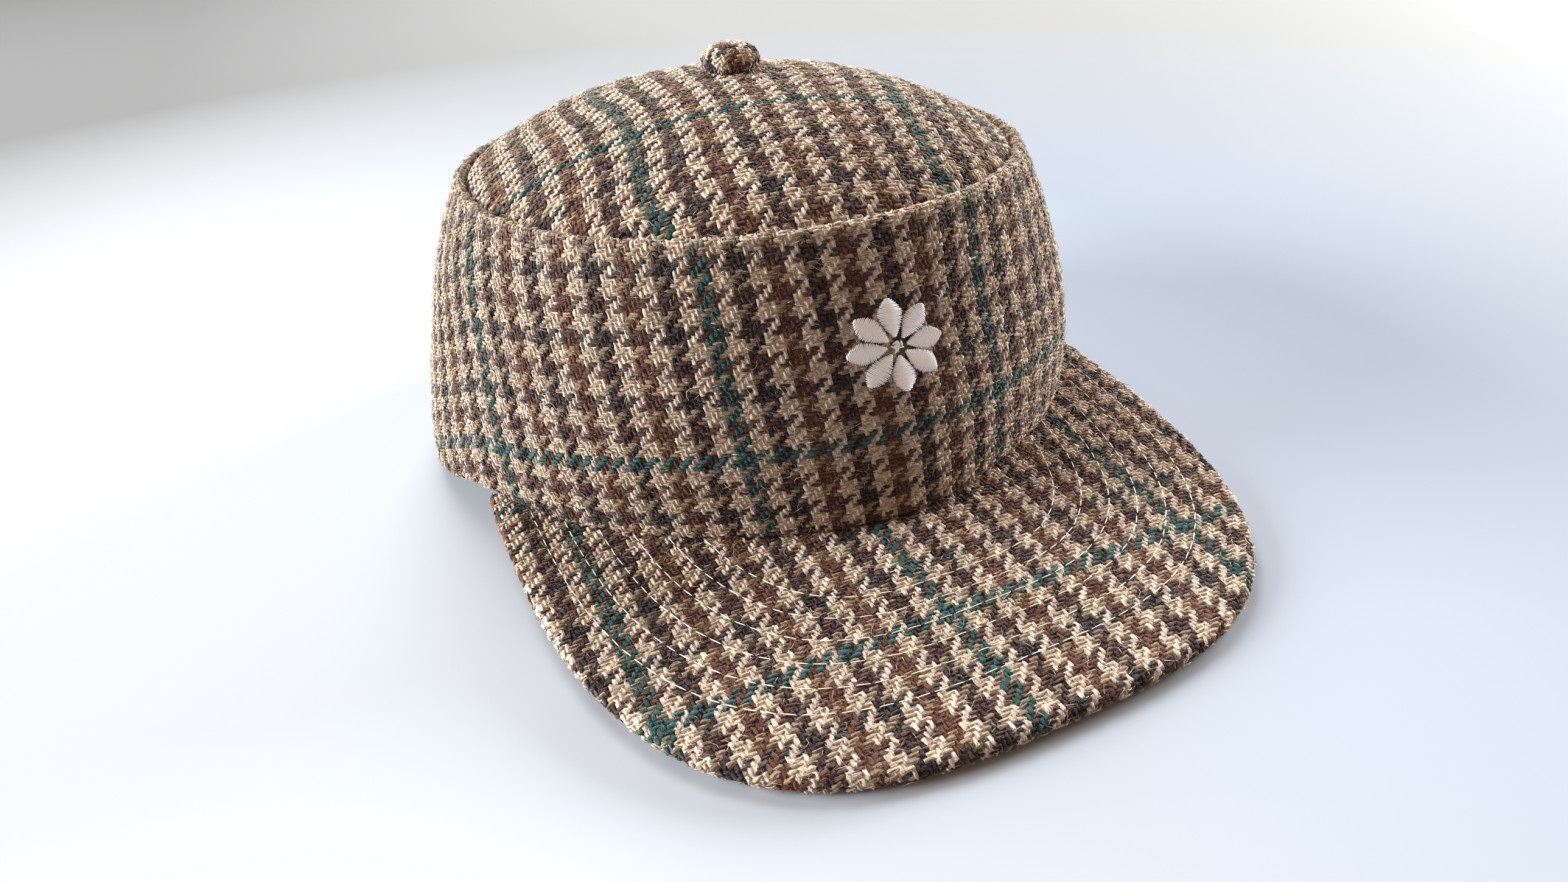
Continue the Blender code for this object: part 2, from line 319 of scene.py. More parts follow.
# %% [markdown]
# The weaver's draft
#
# Houndstooth comes from four dark threads beside four light ones, in both directions, woven as a two and
# two twill: each thread passes over two and under two, one step further on in each next row. Every
# eighth dark group of the warp and every tenth of the weft is teal, which draws the overcheck. The other
# dark groups take turns between charcoal and brown.
#
# The draft is written as two short words. Everything that needs the colour of a thread, the grains and
# the cloth under them, reads these same words through a colour ramp with hard steps.

# %% The draft: thread spacing, colours and their order
# millimetres from thread to thread, each taken from one whole repeat of the checks
WARP_PITCH = 67.35 / 64
WEFT_PITCH = 80.6 / 80
# threads in a group of one colour, and threads after which the twill begins again
GROUP = 4
TWILL = 4
WARP_ORDER = "TCBCBCBC"
WEFT_ORDER = "TBCBCBCBCB"


def paint(red, green, blue):
    """A colour as a dyer would match it on screen, turned into the linear values that Blender uses."""
    return tuple(((value / 255 + 0.055) / 1.055) ** 2.4 for value in (red, green, blue)) + (1.0,)


WARP_DYES = {
    "light": paint(240, 220, 201), "T": paint(0, 80, 81), "C": paint(34, 26, 36), "B": paint(100, 61, 47),
}
WEFT_DYES = {
    "light": paint(247, 215, 177), "T": paint(0, 96, 95), "C": paint(36, 28, 37), "B": paint(96, 50, 41),
}


def draft_steps(order, dyes):
    """One colour for each group of four threads, dark and light in turn, over a whole repeat."""
    return [dyes[name] for letter in order for name in (letter, "light")]


repeat = len(WARP_ORDER) * 2 * GROUP, len(WEFT_ORDER) * 2 * GROUP
print("one repeat of the draft is", repeat[0], "by", repeat[1], "threads")

# %% [markdown]
# How each piece was cut from the cloth
#
# The band was cut on a slight arc, so its threads fan out a little round the crown and climb at the
# sides. The top was laid on the cloth a few degrees askew. Each of the two functions below turns a place
# on the piece into a place on the flat cloth, in millimetres. The peak was cut square, so it needs none:
# its plan is its pattern. Cloth is soft, so it was also eased or pulled a little here and there as it
# was sewn. Short tables hold those pulls, and the bell curve above spreads each one out.

# %% Flat patterns of the band, the top and the peak
FAN_RADIUS = 612.0
FAN_EASE = 1.075
BAND_LEAN = 0.102
TOP_SKEW = -0.123
TEAL_ON_BAND = (-33.8, 25.2)
TEAL_ON_TOP = (-34.6, -24.5)
TEAL_ON_PEAK = (-8.05, -122.13)

# Where the band's cloth was eased or pulled sideways as it was sewn in: the place round the rim and up
# the wall, how far that reaches round and up, and how far the cloth moved, all in millimetres.
EASED = (
    (-126, 68, 35, 22, -3.2), (-110, 20, 35, 25, 1.0), (-43, 70, 40, 28, 2.3), (30, 50, 28, 16, -2.2),
    (32, 75, 25, 9, 2.0),
)


def flat_band(round_rim, up_wall):
    """A place on the band's cloth, from the way round the rim and the way up the wall."""
    angle = round_rim / FAN_RADIUS
    radius = FAN_RADIUS - FAN_EASE * up_wall
    across = radius * np.sin(angle) + BAND_LEAN * up_wall
    for place, height, wide, tall, pull in EASED:
        across = across - pull * bell(round_rim - place, wide) * bell(up_wall - height, tall)
    return np.stack([across, FAN_RADIUS - radius * np.cos(angle)], -1)


# The same for the top: the place in plan, the reach of the pull both ways, and how far the cloth moved.
EASED_TOP = ((48, 8, 30, 38, 10.0), (-37, 15, 20, 14, -3.5), (-43, -43, 20, 10, -2.5))


def flat_top(points):
    """A place on the top's cloth, which lies askew."""
    x, y = points[..., 0], points[..., 1]
    cos, sin = math.cos(TOP_SKEW), math.sin(TOP_SKEW)
    across = x * cos + y * sin
    for place_x, place_y, wide, tall, pull in EASED_TOP:
        across = across - pull * bell(x - place_x, wide) * bell(y - place_y, tall)
    return np.stack([across, y * cos - x * sin], -1)


print("the top was cut", round(math.degrees(-TOP_SKEW), 1), "degrees askew")

# %% [markdown]
# The camera
#
# The camera stands where the photographer stood: a little to one side of the peak and well above the
# table, rather close, with a moderately wide lens. A camera in Blender looks along its own -Z, so its
# matrix is built from its right, its up and the direction back towards it.

# %% Set up the camera
CAMERA_TURN = math.radians(-23.5523)
CAMERA_RISE = math.radians(32.8929)
CAMERA_ROLL = math.radians(-3.0483)
CAMERA_DISTANCE = 201.7122 * MM
LENS = 22.108
AIM = Vector((-34.421, -96.3277 + CROWN_Y, 45.0)) * MM

back = Vector((
    math.sin(CAMERA_TURN) * math.cos(CAMERA_RISE),
    -math.cos(CAMERA_TURN) * math.cos(CAMERA_RISE),
    math.sin(CAMERA_RISE),
))
level = Vector((math.cos(CAMERA_TURN), math.sin(CAMERA_TURN), 0.0))
upright = back.cross(level)
right = level * math.cos(CAMERA_ROLL) + upright * math.sin(CAMERA_ROLL)
up = upright * math.cos(CAMERA_ROLL) - level * math.sin(CAMERA_ROLL)

camera_data = bpy.data.cameras.new("camera")
camera_data.lens = LENS
camera_data.sensor_fit = "HORIZONTAL"
camera_data.clip_start = 0.01
camera = bpy.data.objects.new("camera", camera_data)
turned = Matrix((right, up, back)).transposed().to_4x4()
camera.matrix_world = Matrix.Translation(AIM + back * CAMERA_DISTANCE) @ turned
bpy.context.scene.collection.objects.link(camera)
bpy.context.scene.camera = camera
print("the camera stands", [round(value, 3) for value in camera.location], "m from the cap's middle")

# %% [markdown]
# Yarn and cloth as materials
#
# Woollen yarn is dull, a little hairy and never one colour: fibres of several dyes are spun together.
# The materials below are small node trees, and a few helpers keep them short. One adds a node with its
# inputs. Two more do one step of arithmetic, on a number or on three at once, and give back the answer,
# so a formula reads almost like plain arithmetic. The others mix, scale and spread values, add a soft
# noise, or pick a dye from the draft.

# %% Helpers that build node trees
def add(tree, kind, inputs=None, **options):
    """Adds a node, sets its options, and gives each of its inputs a value or a link."""
    node = tree.nodes.new(kind)
    for option, value in options.items():
        setattr(node, option, value)
    for name, value in (inputs or {}).items():
        socket = node.inputs[name]
        if isinstance(value, bpy.types.NodeSocket):
            tree.links.new(value, socket)
        else:
            socket.default_value = value
    return node


def calc(tree, operation, *values):
    """One step of arithmetic, given back as a socket."""
    return add(tree, "ShaderNodeMath", dict(enumerate(values)), operation=operation).outputs[0]


def calc_three(tree, operation, *values):
    """The same for three numbers at once, such as a place or a colour."""
    return add(tree, "ShaderNodeVectorMath", dict(enumerate(values)), operation=operation).outputs[0]


def scaled(tree, colour, factor):
    """A colour, or any three numbers, times one number."""
    return add(tree, "ShaderNodeVectorMath", {0: colour, 3: factor}, operation="SCALE").outputs[0]


def spread(tree, value, low, high, least=0.0, most=1.0):
    """A value between low and high, spread over the range from least to most."""
    return add(tree, "ShaderNodeMapRange", {0: value, 1: low, 2: high, 3: least, 4: most}).outputs[0]


def blend(tree, share, first, second):
    """Two colours mixed, given back as a socket."""
    return add(tree, "ShaderNodeMix", {0: share, 6: first, 7: second}, data_type="RGBA").outputs[2]


def noise(tree, place, scale, detail, roughness=0.5):
    """A soft noise between 0 and 1, finer with a larger scale."""
    inputs = {"Vector": place, "Scale": scale, "Detail": detail, "Roughness": roughness}
    return add(tree, "ShaderNodeTexNoise", inputs).outputs[0]


def stepped_ramp(tree, place, colours):
    """A colour picked from a list by a number between 0 and 1, with hard steps."""
    ramp = add(tree, "ShaderNodeValToRGB", {0: place})
    ramp.color_ramp.interpolation = "CONSTANT"
    marks = ramp.color_ramp.elements
    marks.remove(marks[1])
    marks[0].color = colours[0]
    for number, colour in enumerate(colours[1:], 1):
        marks.new(number / len(colours)).color = colour
    return ramp.outputs["Color"]


def dye_ramp(tree, thread, order, dyes):
    """The colour of a thread from its number in the draft."""
    steps = draft_steps(order, dyes)
    place = calc(tree, "FRACT", calc(tree, "DIVIDE", calc(tree, "ADD", thread, 0.5), len(steps) * GROUP))
    return stepped_ramp(tree, place, steps)


def new_material(name, roughness, specular):
    """A new material, its node tree and its shader."""
    material = bpy.data.materials.new(name)
    material.use_nodes = True
    shader = material.node_tree.nodes["Principled BSDF"]
    shader.inputs["Roughness"].default_value = roughness
    shader.inputs["Specular IOR Level"].default_value = specular
    return material, material.node_tree, shader


print("a dye ramp of the warp has", len(draft_steps(WARP_ORDER, WARP_DYES)), "steps")

# %% [markdown]
# Floor and light
#
# The cap lies on a pale cloth that runs up behind it without a corner. Its colour, mixed from four by
# the place on the floor, holds painted shade: darker and bluer at the near right, darker far away.
#
# The light is a bright overcast day: one window behind the cap and above it, two low ones at its sides,
# and a faint warm light from all round. So the top and the edges are bright, and the front of the band
# is in gentle shade. Large area lights give such soft shadows.

# %% Make the floor and the backdrop in one sweep
FLOOR_HALF_WIDTH = 3.2
FLOOR_FROM = -1.6
FLOOR_TO = 3.4
BEND_FROM = 1.9
BEND_REACH = 1.2
BEND_RISE = 0.55


def make_floor():
    """A floor, in metres, that curves up far behind the cap."""
    steps = np.linspace(FLOOR_FROM, FLOOR_TO, 70)
    turn_up = np.clip(steps - BEND_FROM, 0.0, None)
    bent = BEND_FROM + BEND_REACH * (1 - np.exp(-turn_up / BEND_REACH))
    along_y = np.where(steps < BEND_FROM, steps, bent)
    height = BEND_RISE * turn_up**2
    x, row = np.meshgrid(np.linspace(-FLOOR_HALF_WIDTH, FLOOR_HALF_WIDTH, 60), np.arange(len(steps)))
    points = np.stack([x, along_y[row], height[row] - 0.2 * MM], -1)
    mesh = bpy.data.meshes.new("floor")
    faces = grid_faces(*x.shape, wrap=False)
    mesh.from_pydata(points.reshape(-1, 3).tolist(), [], faces.tolist())
    mesh.shade_smooth()
    return show(mesh, "floor")


floor = make_floor()
print("the floor has", len(floor.data.polygons), "faces")

# %% Paint the floor
floor_paint, floor_tree, floor_shader = new_material("pale_floor", 0.9, 0.5)
floor_place = add(floor_tree, "ShaderNodeTexCoord").outputs["Object"]
floor_x = add(floor_tree, "ShaderNodeSeparateXYZ", {0: floor_place}).outputs[0]
across = spread(floor_tree, floor_x, -0.22, 0.2)
away = add(floor_tree, "ShaderNodeVectorMath", {0: floor_place}, operation="LENGTH").outputs["Value"]
# painted shade: the near right is darker and bluer, and the far floor darker still, to even out the lamps
near_colour = blend(floor_tree, across, paint(184, 187, 193), paint(119, 130, 146))
far_colour = blend(floor_tree, across, paint(93, 92, 92), paint(122, 121, 121))
floor_colour = blend(floor_tree, spread(floor_tree, away, 0.1, 0.65), near_colour, far_colour)
floor_tree.links.new(floor_colour, floor_shader.inputs["Base Color"])
floor.data.materials.append(floor_paint)
floor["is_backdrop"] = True
print("the floor's paint takes", len(floor_tree.nodes), "nodes")


# %% Hang the lights
LAMPS_LOOK_AT = Vector((0.0, 0.0, 0.04))
LAMP_SPREAD = math.radians(100)


def hang_light(name, place, size, watts, tint):
    """A square area light that faces the cap."""
    lamp = bpy.data.lights.new(name, "AREA")
    lamp.size = size
    lamp.energy = watts
    lamp.color = tint
    lamp.spread = LAMP_SPREAD
    thing = bpy.data.objects.new(name, lamp)
    thing.location = place
    thing.rotation_euler = (LAMPS_LOOK_AT - Vector(place)).to_track_quat("-Z", "Y").to_euler()
    bpy.context.scene.collection.objects.link(thing)
    print(name, "hangs", round((LAMPS_LOOK_AT - Vector(place)).length, 2), "m from the cap")


hang_light("window_behind", (0.35, 2.4, 2.1), 2.2, 59.0, (0.92, 0.975, 1.0))
hang_light("window_left", (-2.9, 1.0, 0.9), 1.7, 112.0, (0.93, 0.98, 1.0))
hang_light("window_right", (3.4, 0.6, 0.6), 1.8, 172.0, (0.95, 0.985, 1.0))

# %% Light the sky
# warm where it lights the cap, plain and pale where the camera sees it beyond the floor
world = bpy.data.worlds.new("day")
world.use_nodes = True
sky_tree = world.node_tree
sky_seen = add(sky_tree, "ShaderNodeLightPath").outputs["Is Camera Ray"]
sky_colour = blend(sky_tree, sky_seen, (1.0, 0.70, 0.48, 1.0), (0.90, 0.92, 0.96, 1.0))
sky_strength = calc(sky_tree, "MULTIPLY_ADD", sky_seen, 0.37, 0.43)
sky_tree.links.new(sky_colour, sky_tree.nodes["Background"].inputs["Color"])
sky_tree.links.new(sky_strength, sky_tree.nodes["Background"].inputs["Strength"])
bpy.context.scene.world = world
bpy.context.scene.view_settings.view_transform = "Standard"
print("the sky takes", len(sky_tree.nodes), "nodes")

# %% [markdown]
# The cloth under the grains
#
# Between the grains of yarn one looks down into the cloth, where the same threads lie in shadow, so here
# their colour is painted a little darker as shade. This material works out from the UV map which warp and
# which weft thread crosses here, which of the two is on top by the twill's rule, and gives it that thread's
# colour. Where the weft is on top, some of the warp shows through. The roundness of each thread becomes a
# bump, and painted shade towards the thread's sides. The same material, in full colour without the shade
# between the grains, serves where no grains are laid, inside the crown and under the peak.

# %% Work out what crosses where
MAP_MIDDLE = 0.5
WARP_SHOWS_THROUGH = 0.35
FINE_HAIR_SCALE = 700.0
FINE_HAIR_WIDTH = 0.016


def in_threads(tree, length, pitch):
    """A place on one axis of the map, counted in threads."""
    return calc(tree, "DIVIDE", calc(tree, "SUBTRACT", length, MAP_MIDDLE), pitch * MM)


def crossing(tree, place):
    """The place in threads both ways, whether the warp is on top, and the dye that shows there."""
    axes = add(tree, "ShaderNodeSeparateXYZ", {0: place})
    across = in_threads(tree, axes.outputs[0], WARP_PITCH)
    upward = in_threads(tree, axes.outputs[1], WEFT_PITCH)
    warp_thread = calc(tree, "FLOOR", across)
    weft_thread = calc(tree, "FLOOR", upward)
    step = calc(tree, "FLOORED_MODULO", calc(tree, "SUBTRACT", warp_thread, weft_thread), TWILL)
    warp_up = calc(tree, "LESS_THAN", step, 1.5)
    warp_colour = dye_ramp(tree, warp_thread, WARP_ORDER, WARP_DYES)
    weft_colour = dye_ramp(tree, weft_thread, WEFT_ORDER, WEFT_DYES)
    share = calc(tree, "MULTIPLY_ADD", warp_up, 1 - WARP_SHOWS_THROUGH, WARP_SHOWS_THROUGH)
    return across, upward, warp_up, blend(tree, share, weft_colour, warp_colour)


def fine_hairs(tree, place, amount):
    """Thin wandering lines where a soft noise crosses its middle, as hairs that lie on the cloth."""
    hairs = 0.0
    for offset in (0.0, 37.0, 71.0):
        moved = calc_three(tree, "ADD", place, (offset, offset / 2, 0.0))
        from_middle = calc(tree, "SUBTRACT", noise(tree, moved, FINE_HAIR_SCALE, 1.0, 0.4), 0.5)
        line = spread(tree, calc(tree, "ABSOLUTE", from_middle), FINE_HAIR_WIDTH, 0.0)
        hairs = calc(tree, "MAXIMUM", line, hairs)
    return calc(tree, "MULTIPLY", hairs, amount)


print("the middle of the map is at", MAP_MIDDLE, "m of cloth, both ways")


# %% Make the woven ground material
GROUND_FUZZ_SCALE = 1900.0
GROUND_HAIR_DYE = paint(176, 146, 116)


def woven_ground(name, depth):
    """The cloth between the grains. depth is how much of its colour is left by the painted shade between the
    grains.
    """
    material, tree, shader = new_material(name, 0.95, 0.1)
    flat = add(tree, "ShaderNodeUVMap", uv_map=FLAT_MAP).outputs[0]
    across, upward, warp_up, colour = crossing(tree, flat)
    weft_up = calc(tree, "SUBTRACT", 1.0, warp_up)
    over_warp = calc(tree, "MULTIPLY", calc(tree, "PINGPONG", across, 0.5), warp_up)
    over_weft = calc(tree, "MULTIPLY", calc(tree, "PINGPONG", upward, 0.5), weft_up)
    roundness = calc(tree, "MULTIPLY", calc(tree, "ADD", over_warp, over_weft), 2.0)
    relief = calc(tree, "POWER", roundness, 0.6)

    place = add(tree, "ShaderNodeTexCoord").outputs["Object"]
    fuzz = noise(tree, place, GROUND_FUZZ_SCALE, 2.0)
    # painted shade: depth darkens the whole colour between the grains, and relief darkens each thread towards
    # its sides
    tone = calc(tree, "MULTIPLY", calc(tree, "MULTIPLY_ADD", fuzz, 0.7, 0.65), depth)
    lit = calc(tree, "MULTIPLY", calc(tree, "MULTIPLY_ADD", relief, 0.35, 0.65), tone)
    haired = blend(tree, fine_hairs(tree, place, 0.3), scaled(tree, colour, lit), GROUND_HAIR_DYE)
    tree.links.new(haired, shader.inputs["Base Color"])
    height = calc(tree, "ADD", relief, calc(tree, "MULTIPLY", fuzz, 0.6))
    bump = add(tree, "ShaderNodeBump", {"Height": height, "Distance": 0.3 * MM, "Strength": 0.9})
    tree.links.new(bump.outputs[0], shader.inputs["Normal"])
    return material


ground = woven_ground("tweed_between_threads", 0.9)
cloth_back = woven_ground("tweed_back", 1.0)
print("the woven ground takes", len(ground.node_tree.nodes), "nodes")

# %% [markdown]
# The yarn itself
#
# A grain carries its colour as an attribute, which Geometry Nodes write when they lay it. The material
# adds what spinning does: fine streaks and specks where fibres of another dye lie on top, a rough surface
# and a faint sheen, as light catches the hairs that stand off it.
#
# Two more attributes come with each grain. One is a painted highlight: along the crest of the rolled seam
# the light catches the roll, so its wool is painted paler there. The other is the direction that stands
# upright on the cloth. Felted wool has no sharp edges, so the light sees each grain turned halfway towards
# it. Seen nearly edge on, the colour goes towards a pale one, a painted sheen for the light on the fuzz.

# %% Make the yarn material
OWN_NORMAL = 0.4
# the colour and the share of the painted highlight along the roll's crest
HIGHLIGHT_COLOUR = paint(250, 226, 198)
HIGHLIGHT_SHARE = 0.4
FLECK_DYE = paint(150, 118, 86)
FLECK_SCALE = 1300.0
FINE_HAIR_DYE = paint(186, 158, 128)
# the colour and the share of the painted sheen at the edges
EDGE_SHEEN_COLOUR = paint(228, 210, 188)
EDGE_SHEEN_SHARE = 0.45


def attribute(tree, name, output):
    """What Geometry Nodes wrote on a grain under this name."""
    return add(tree, "ShaderNodeAttribute", attribute_name=name).outputs[output]


def soft_normal(tree):
    """A grain's own normal, drawn towards the cloth's."""
    own = add(tree, "ShaderNodeNewGeometry").outputs["Normal"]
    upright = attribute(tree, "upright", "Vector")
    return calc_three(tree, "NORMALIZE", calc_three(tree, "MULTIPLY_ADD", own, (OWN_NORMAL,) * 3, upright))


def ply_tone(tree, flat, fleck, plies):
    """Painted shade in the grooves between the plies: light and dark bands along a thread, as many as it has
    plies.
    """
    height = add(tree, "ShaderNodeSeparateXYZ", {0: flat}).outputs[1]
    wavy = calc(tree, "MULTIPLY_ADD", fleck, 0.5, in_threads(tree, height, WEFT_PITCH / plies))
    ply = calc(tree, "ABSOLUTE", calc(tree, "SINE", calc(tree, "MULTIPLY", wavy, math.pi)))
    return calc(tree, "MULTIPLY_ADD", ply, 0.55, 0.55)


def spun_yarn(name, streaks, streak_depth, plies):
    """Wool dyed by an attribute. streaks is how fine its fibres are along both axes of the map."""
    material, tree, shader = new_material(name, 0.95, 0.1)
    # painted highlight: the crest of the rolled seam is painted paler, where the light catches it
    worn = calc(tree, "MULTIPLY", attribute(tree, "worn", "Fac"), HIGHLIGHT_SHARE)
    dye = blend(tree, worn, attribute(tree, "dye", "Color"), HIGHLIGHT_COLOUR)
    flat = add(tree, "ShaderNodeUVMap", uv_map=FLAT_MAP).outputs[0]
    drawn_out = calc_three(tree, "MULTIPLY", flat, streaks)
    fibre = spread(tree, noise(tree, drawn_out, 1.0, 3.0, 0.65), 0.32, 0.68)
    place = add(tree, "ShaderNodeTexCoord").outputs["Object"]
    fleck = noise(tree, place, FLECK_SCALE, 3.0)
    tone = calc(tree, "MULTIPLY_ADD", fibre, 2 * streak_depth, 1.0 - streak_depth)
    if plies:
        tone = calc(tree, "MULTIPLY", tone, ply_tone(tree, flat, fleck, plies))
    specks = spread(tree, fleck, 0.54, 0.70, 0.0, 0.14)
    flecked = blend(tree, specks, scaled(tree, dye, tone), FLECK_DYE)
    haired = blend(tree, fine_hairs(tree, place, 0.28), flecked, FINE_HAIR_DYE)

    softer = soft_normal(tree)
    edge_on = add(tree, "ShaderNodeLayerWeight", {"Blend": 0.5, "Normal": softer}).outputs["Facing"]
    # painted sheen: where the cloth is seen nearly edge on, the colour goes pale, as light catches the fuzz
    # there
    edge_sheen = calc(tree, "MULTIPLY", calc(tree, "POWER", edge_on, 4.0), EDGE_SHEEN_SHARE)
    tree.links.new(blend(tree, edge_sheen, haired, EDGE_SHEEN_COLOUR), shader.inputs["Base Color"])
    rough = calc(tree, "ADD", fibre, calc(tree, "MULTIPLY", fleck, 0.6))
    bump = add(tree, "ShaderNodeBump", {
        "Height": rough, "Distance": 0.4 * MM, "Strength": 1.0, "Normal": softer,
    })
    tree.links.new(bump.outputs[0], shader.inputs["Normal"])
    shader.inputs["Sheen Weight"].default_value = 0.22
    shader.inputs["Sheen Roughness"].default_value = 0.35
    return material


warp_yarn = spun_yarn("warp_wool", (5200.0, 1100.0, 0.0), 0.20, 0)
weft_yarn = spun_yarn("weft_wool", (900.0, 6400.0, 0.0), 0.28, 2)
print("the yarn takes", len(weft_yarn.node_tree.nodes), "nodes")

# %% [markdown]
# The band
#
# The band is one strip of cloth round the head. Its foot is turned in as a hem, and its top is rolled
# over and sewn to the edge of the top, which leaves a soft standing roll. Here the strip is a closed
# shape: up the outside, over the roll and down the inside. It stops at the back in a seam, where the
# two ends of the cloth meet and their checks don't match.
#
# The outside is built once as a bare sheet too. That sheet is only a guide: it never shows, but it tells
# Geometry Nodes where any place of the flat cloth has gone. It also carries the painted highlight, paler
# along the crest of the roll.

# %% Rows of points up the band and over the roll
GROUND_DEPTH = 0.25
FOLD_RADIUS = (CLOTH + HEM) / 2
HEM_TOP = 0.15
BACK_CREASE = 0.55
# the roll's crest is the eighth row from the end, and the painted highlight spreads over a few rows on both
# its sides
CREST_FROM_END = 8
HIGHLIGHT_ROWS = 6.0


def band_rows(turn, depth=GROUND_DEPTH):
    """The rows of the band's show side, from inside the hem, round its foot, up and over the roll."""
    crease = BACK_CREASE * bell(np.abs(between(turn, 180)), 0.9)
    rows = []
    for angle in np.radians(np.linspace(180, 0, 7)):
        inset = depth + (FOLD_RADIUS - depth) * (1 - math.cos(angle))
        row = band_wall(turn, FOLD_RADIUS / RIDGE_HEIGHT, inset)
        row[..., 2] -= (FOLD_RADIUS - depth) * math.sin(angle)
        rows.append(row)
    for height in np.linspace(FOLD_RADIUS / RIDGE_HEIGHT, 1.0, 54)[1:-1]:
        rows.append(band_wall(turn, height, depth + crease * min(1.0, 12 * (1 - height))))
    for angle in np.radians(np.linspace(0, 190, 15)):
        inset = ROLL_RADIUS - (ROLL_RADIUS - depth) * math.cos(angle)
        row = ridge_line(turn, inset)
        row[..., 2] += (ROLL_RADIUS - depth) * math.sin(angle)
        rows.append(row)
    return np.array(rows)


def band_back_rows(turn):
    """The rows of the band's inner side, from the foot of the roll down to the hem."""
    foot = ridge_line(turn, 2 * ROLL_RADIUS)
    foot[..., 2] -= CLOTH + SEAM_GAP
    rows = [foot]
    for height in (0.90, 0.78, 0.64, 0.50, 0.36, 0.24, HEM_TOP + 0.02):
        rows.append(band_wall(turn, height, CLOTH))
    for height in (HEM_TOP, 0.08, 0.045):
        rows.append(band_wall(turn, height, CLOTH + HEM - GROUND_DEPTH))
    return np.array(rows)


print("one line up the outside of the band has", len(band_rows(np.zeros(1))), "points")


def lengths(points, axis):
    """How far each point of a grid has come along one of its directions."""
    steps = np.linalg.norm(np.diff(points, axis=axis), axis=-1)
    start = np.zeros_like(np.take(steps, [0], axis=axis))
    return np.concatenate([start, np.cumsum(steps, axis=axis)], axis=axis)


# %% Lay the band's cloth flat and make its body
def band_flat(points, turn):
    """Places on the flat cloth for rows of the band, from the way round the rim and up the wall."""
    rim = rim_line(turn)
    rim[..., 2] = 0.0
    round_rim = lengths(rim, 0)
    round_rim = round_rim - np.interp(0.0, turn, round_rim)
    up_wall = lengths(points, 0)
    up_wall = up_wall - up_wall[6] + FOLD_RADIUS
    return flat_band(np.broadcast_to(round_rim, up_wall.shape), up_wall) - TEAL_ON_BAND


def threads_origin(flat):
    """Moves the map so that its middle is the first teal thread's edge in both directions."""
    half_group = GROUP / 2 * np.array([WARP_PITCH, WEFT_PITCH])
    return flat + half_group + MAP_MIDDLE / MM


crown_middle = Vector((0.0, CROWN_Y * MM, 0.0))


def faces_inwards(face):
    """A test for faces that look towards the crown's axis."""
    return (face.center - crown_middle).xy.dot(face.normal.xy) < 0


def cloth_body(name, mesh, shows_back=None):
    """A body of cloth. shows_back is a test for the faces that get no grains."""
    body = show(mesh, name)
    mesh.materials.append(ground)
    if shows_back:
        mesh.materials.append(cloth_back)
        mesh.polygons.foreach_set("material_index", [int(shows_back(face)) for face in mesh.polygons])
    return body


band_turns = np.linspace(-180.0, 180.0, 205)
band_outside = band_rows(band_turns)
band_grid = np.concatenate([band_outside, band_back_rows(band_turns)])
band_map = threads_origin(band_flat(band_grid, band_turns))
band_mesh = weld(cloth_grid("band_cloth", band_grid, band_map, wrap=True))
band_body = cloth_body("band_cloth", band_mesh, faces_inwards)
rows_from_crest = np.arange(len(band_outside)) - (len(band_outside) - CREST_FROM_END)
band_highlight = bell(rows_from_crest, HIGHLIGHT_ROWS)
band_guide = guide_sheet("band_guide", band_outside, band_map[: len(band_outside)], band_highlight)
print("the band's cloth is", round(np.ptp(band_map[..., 0])), "mm long")

# %% [markdown]
# The top
#
# The top is an oval of the same cloth, cut a little larger than the opening and eased into the rolled
# seam, so it domes. It is built in rings from its middle to the seam, a little way down into the groove,
# and back underneath. The rings lie closer together near the seam, where the dome curves most.

# %% Make the top's body and its guide
SEAM_DROP = 1.6
SEAM_TUCK = 0.25
GROOVE_DEPTH = 0.6


def top_rows(turn):
    """The rows of the top's show side, with the places on the plane that their flat cloth comes from."""
    rows, plan = [], []
    for angle in np.linspace(0.0, math.pi / 2, 36):
        row = top_dome(turn, math.sin(angle), TOP_INSET - SEAM_TUCK * math.sin(angle))
        from_seam = (1 - math.sin(angle)) * RIDGE_HALF_WIDTH
        row[..., 2] -= GROUND_DEPTH + GROOVE_DEPTH * bell(from_seam, 1.3)
        rows.append(row)
        plan.append(row)
    for drop in np.linspace(0.0, SEAM_DROP, 4)[1:]:
        row = rows[35].copy()
        row[..., 2] -= drop
        rows.append(row)
        plan.append(ridge_line(turn, TOP_INSET - SEAM_TUCK - drop))
    return np.array(rows), np.array(plan)


def top_back_rows(turn):
    """The rows of the top's underside, from the seam back to the middle."""
    rows = []
    for reach in (1.0, 0.97, 0.9, 0.78, 0.6, 0.4, 0.2, 0.0):
        row = top_dome(turn, reach, TOP_INSET + GROUND_DEPTH)
        row[..., 2] -= CLOTH
        rows.append(row)
    return np.array(rows)


def faces_down(face):
    """A test for faces that look down."""
    return face.normal.z < -0.2


top_turns = np.linspace(-180.0, 180.0, 145)
top_outside, top_plan = top_rows(top_turns)
top_inside = top_back_rows(top_turns)
top_grid = np.concatenate([top_outside, top_inside])
top_map = threads_origin(flat_top(np.concatenate([top_plan, top_inside])) - TEAL_ON_TOP)
top_body = cloth_body("top_cloth", weld(cloth_grid("top_cloth", top_grid, top_map)), faces_down)
top_guide = guide_sheet("top_guide", top_outside, top_map[: len(top_outside)])
print("the top rises", round(np.ptp(top_outside[..., 2]), 1), "mm above the bottom of its groove")

# %% [markdown]
# The covered button
#
# A scrap of the same cloth is gathered round a button mould and sewn to the middle of the top. Its side
# shows the small pleats of the gathering, which fade towards its crown.

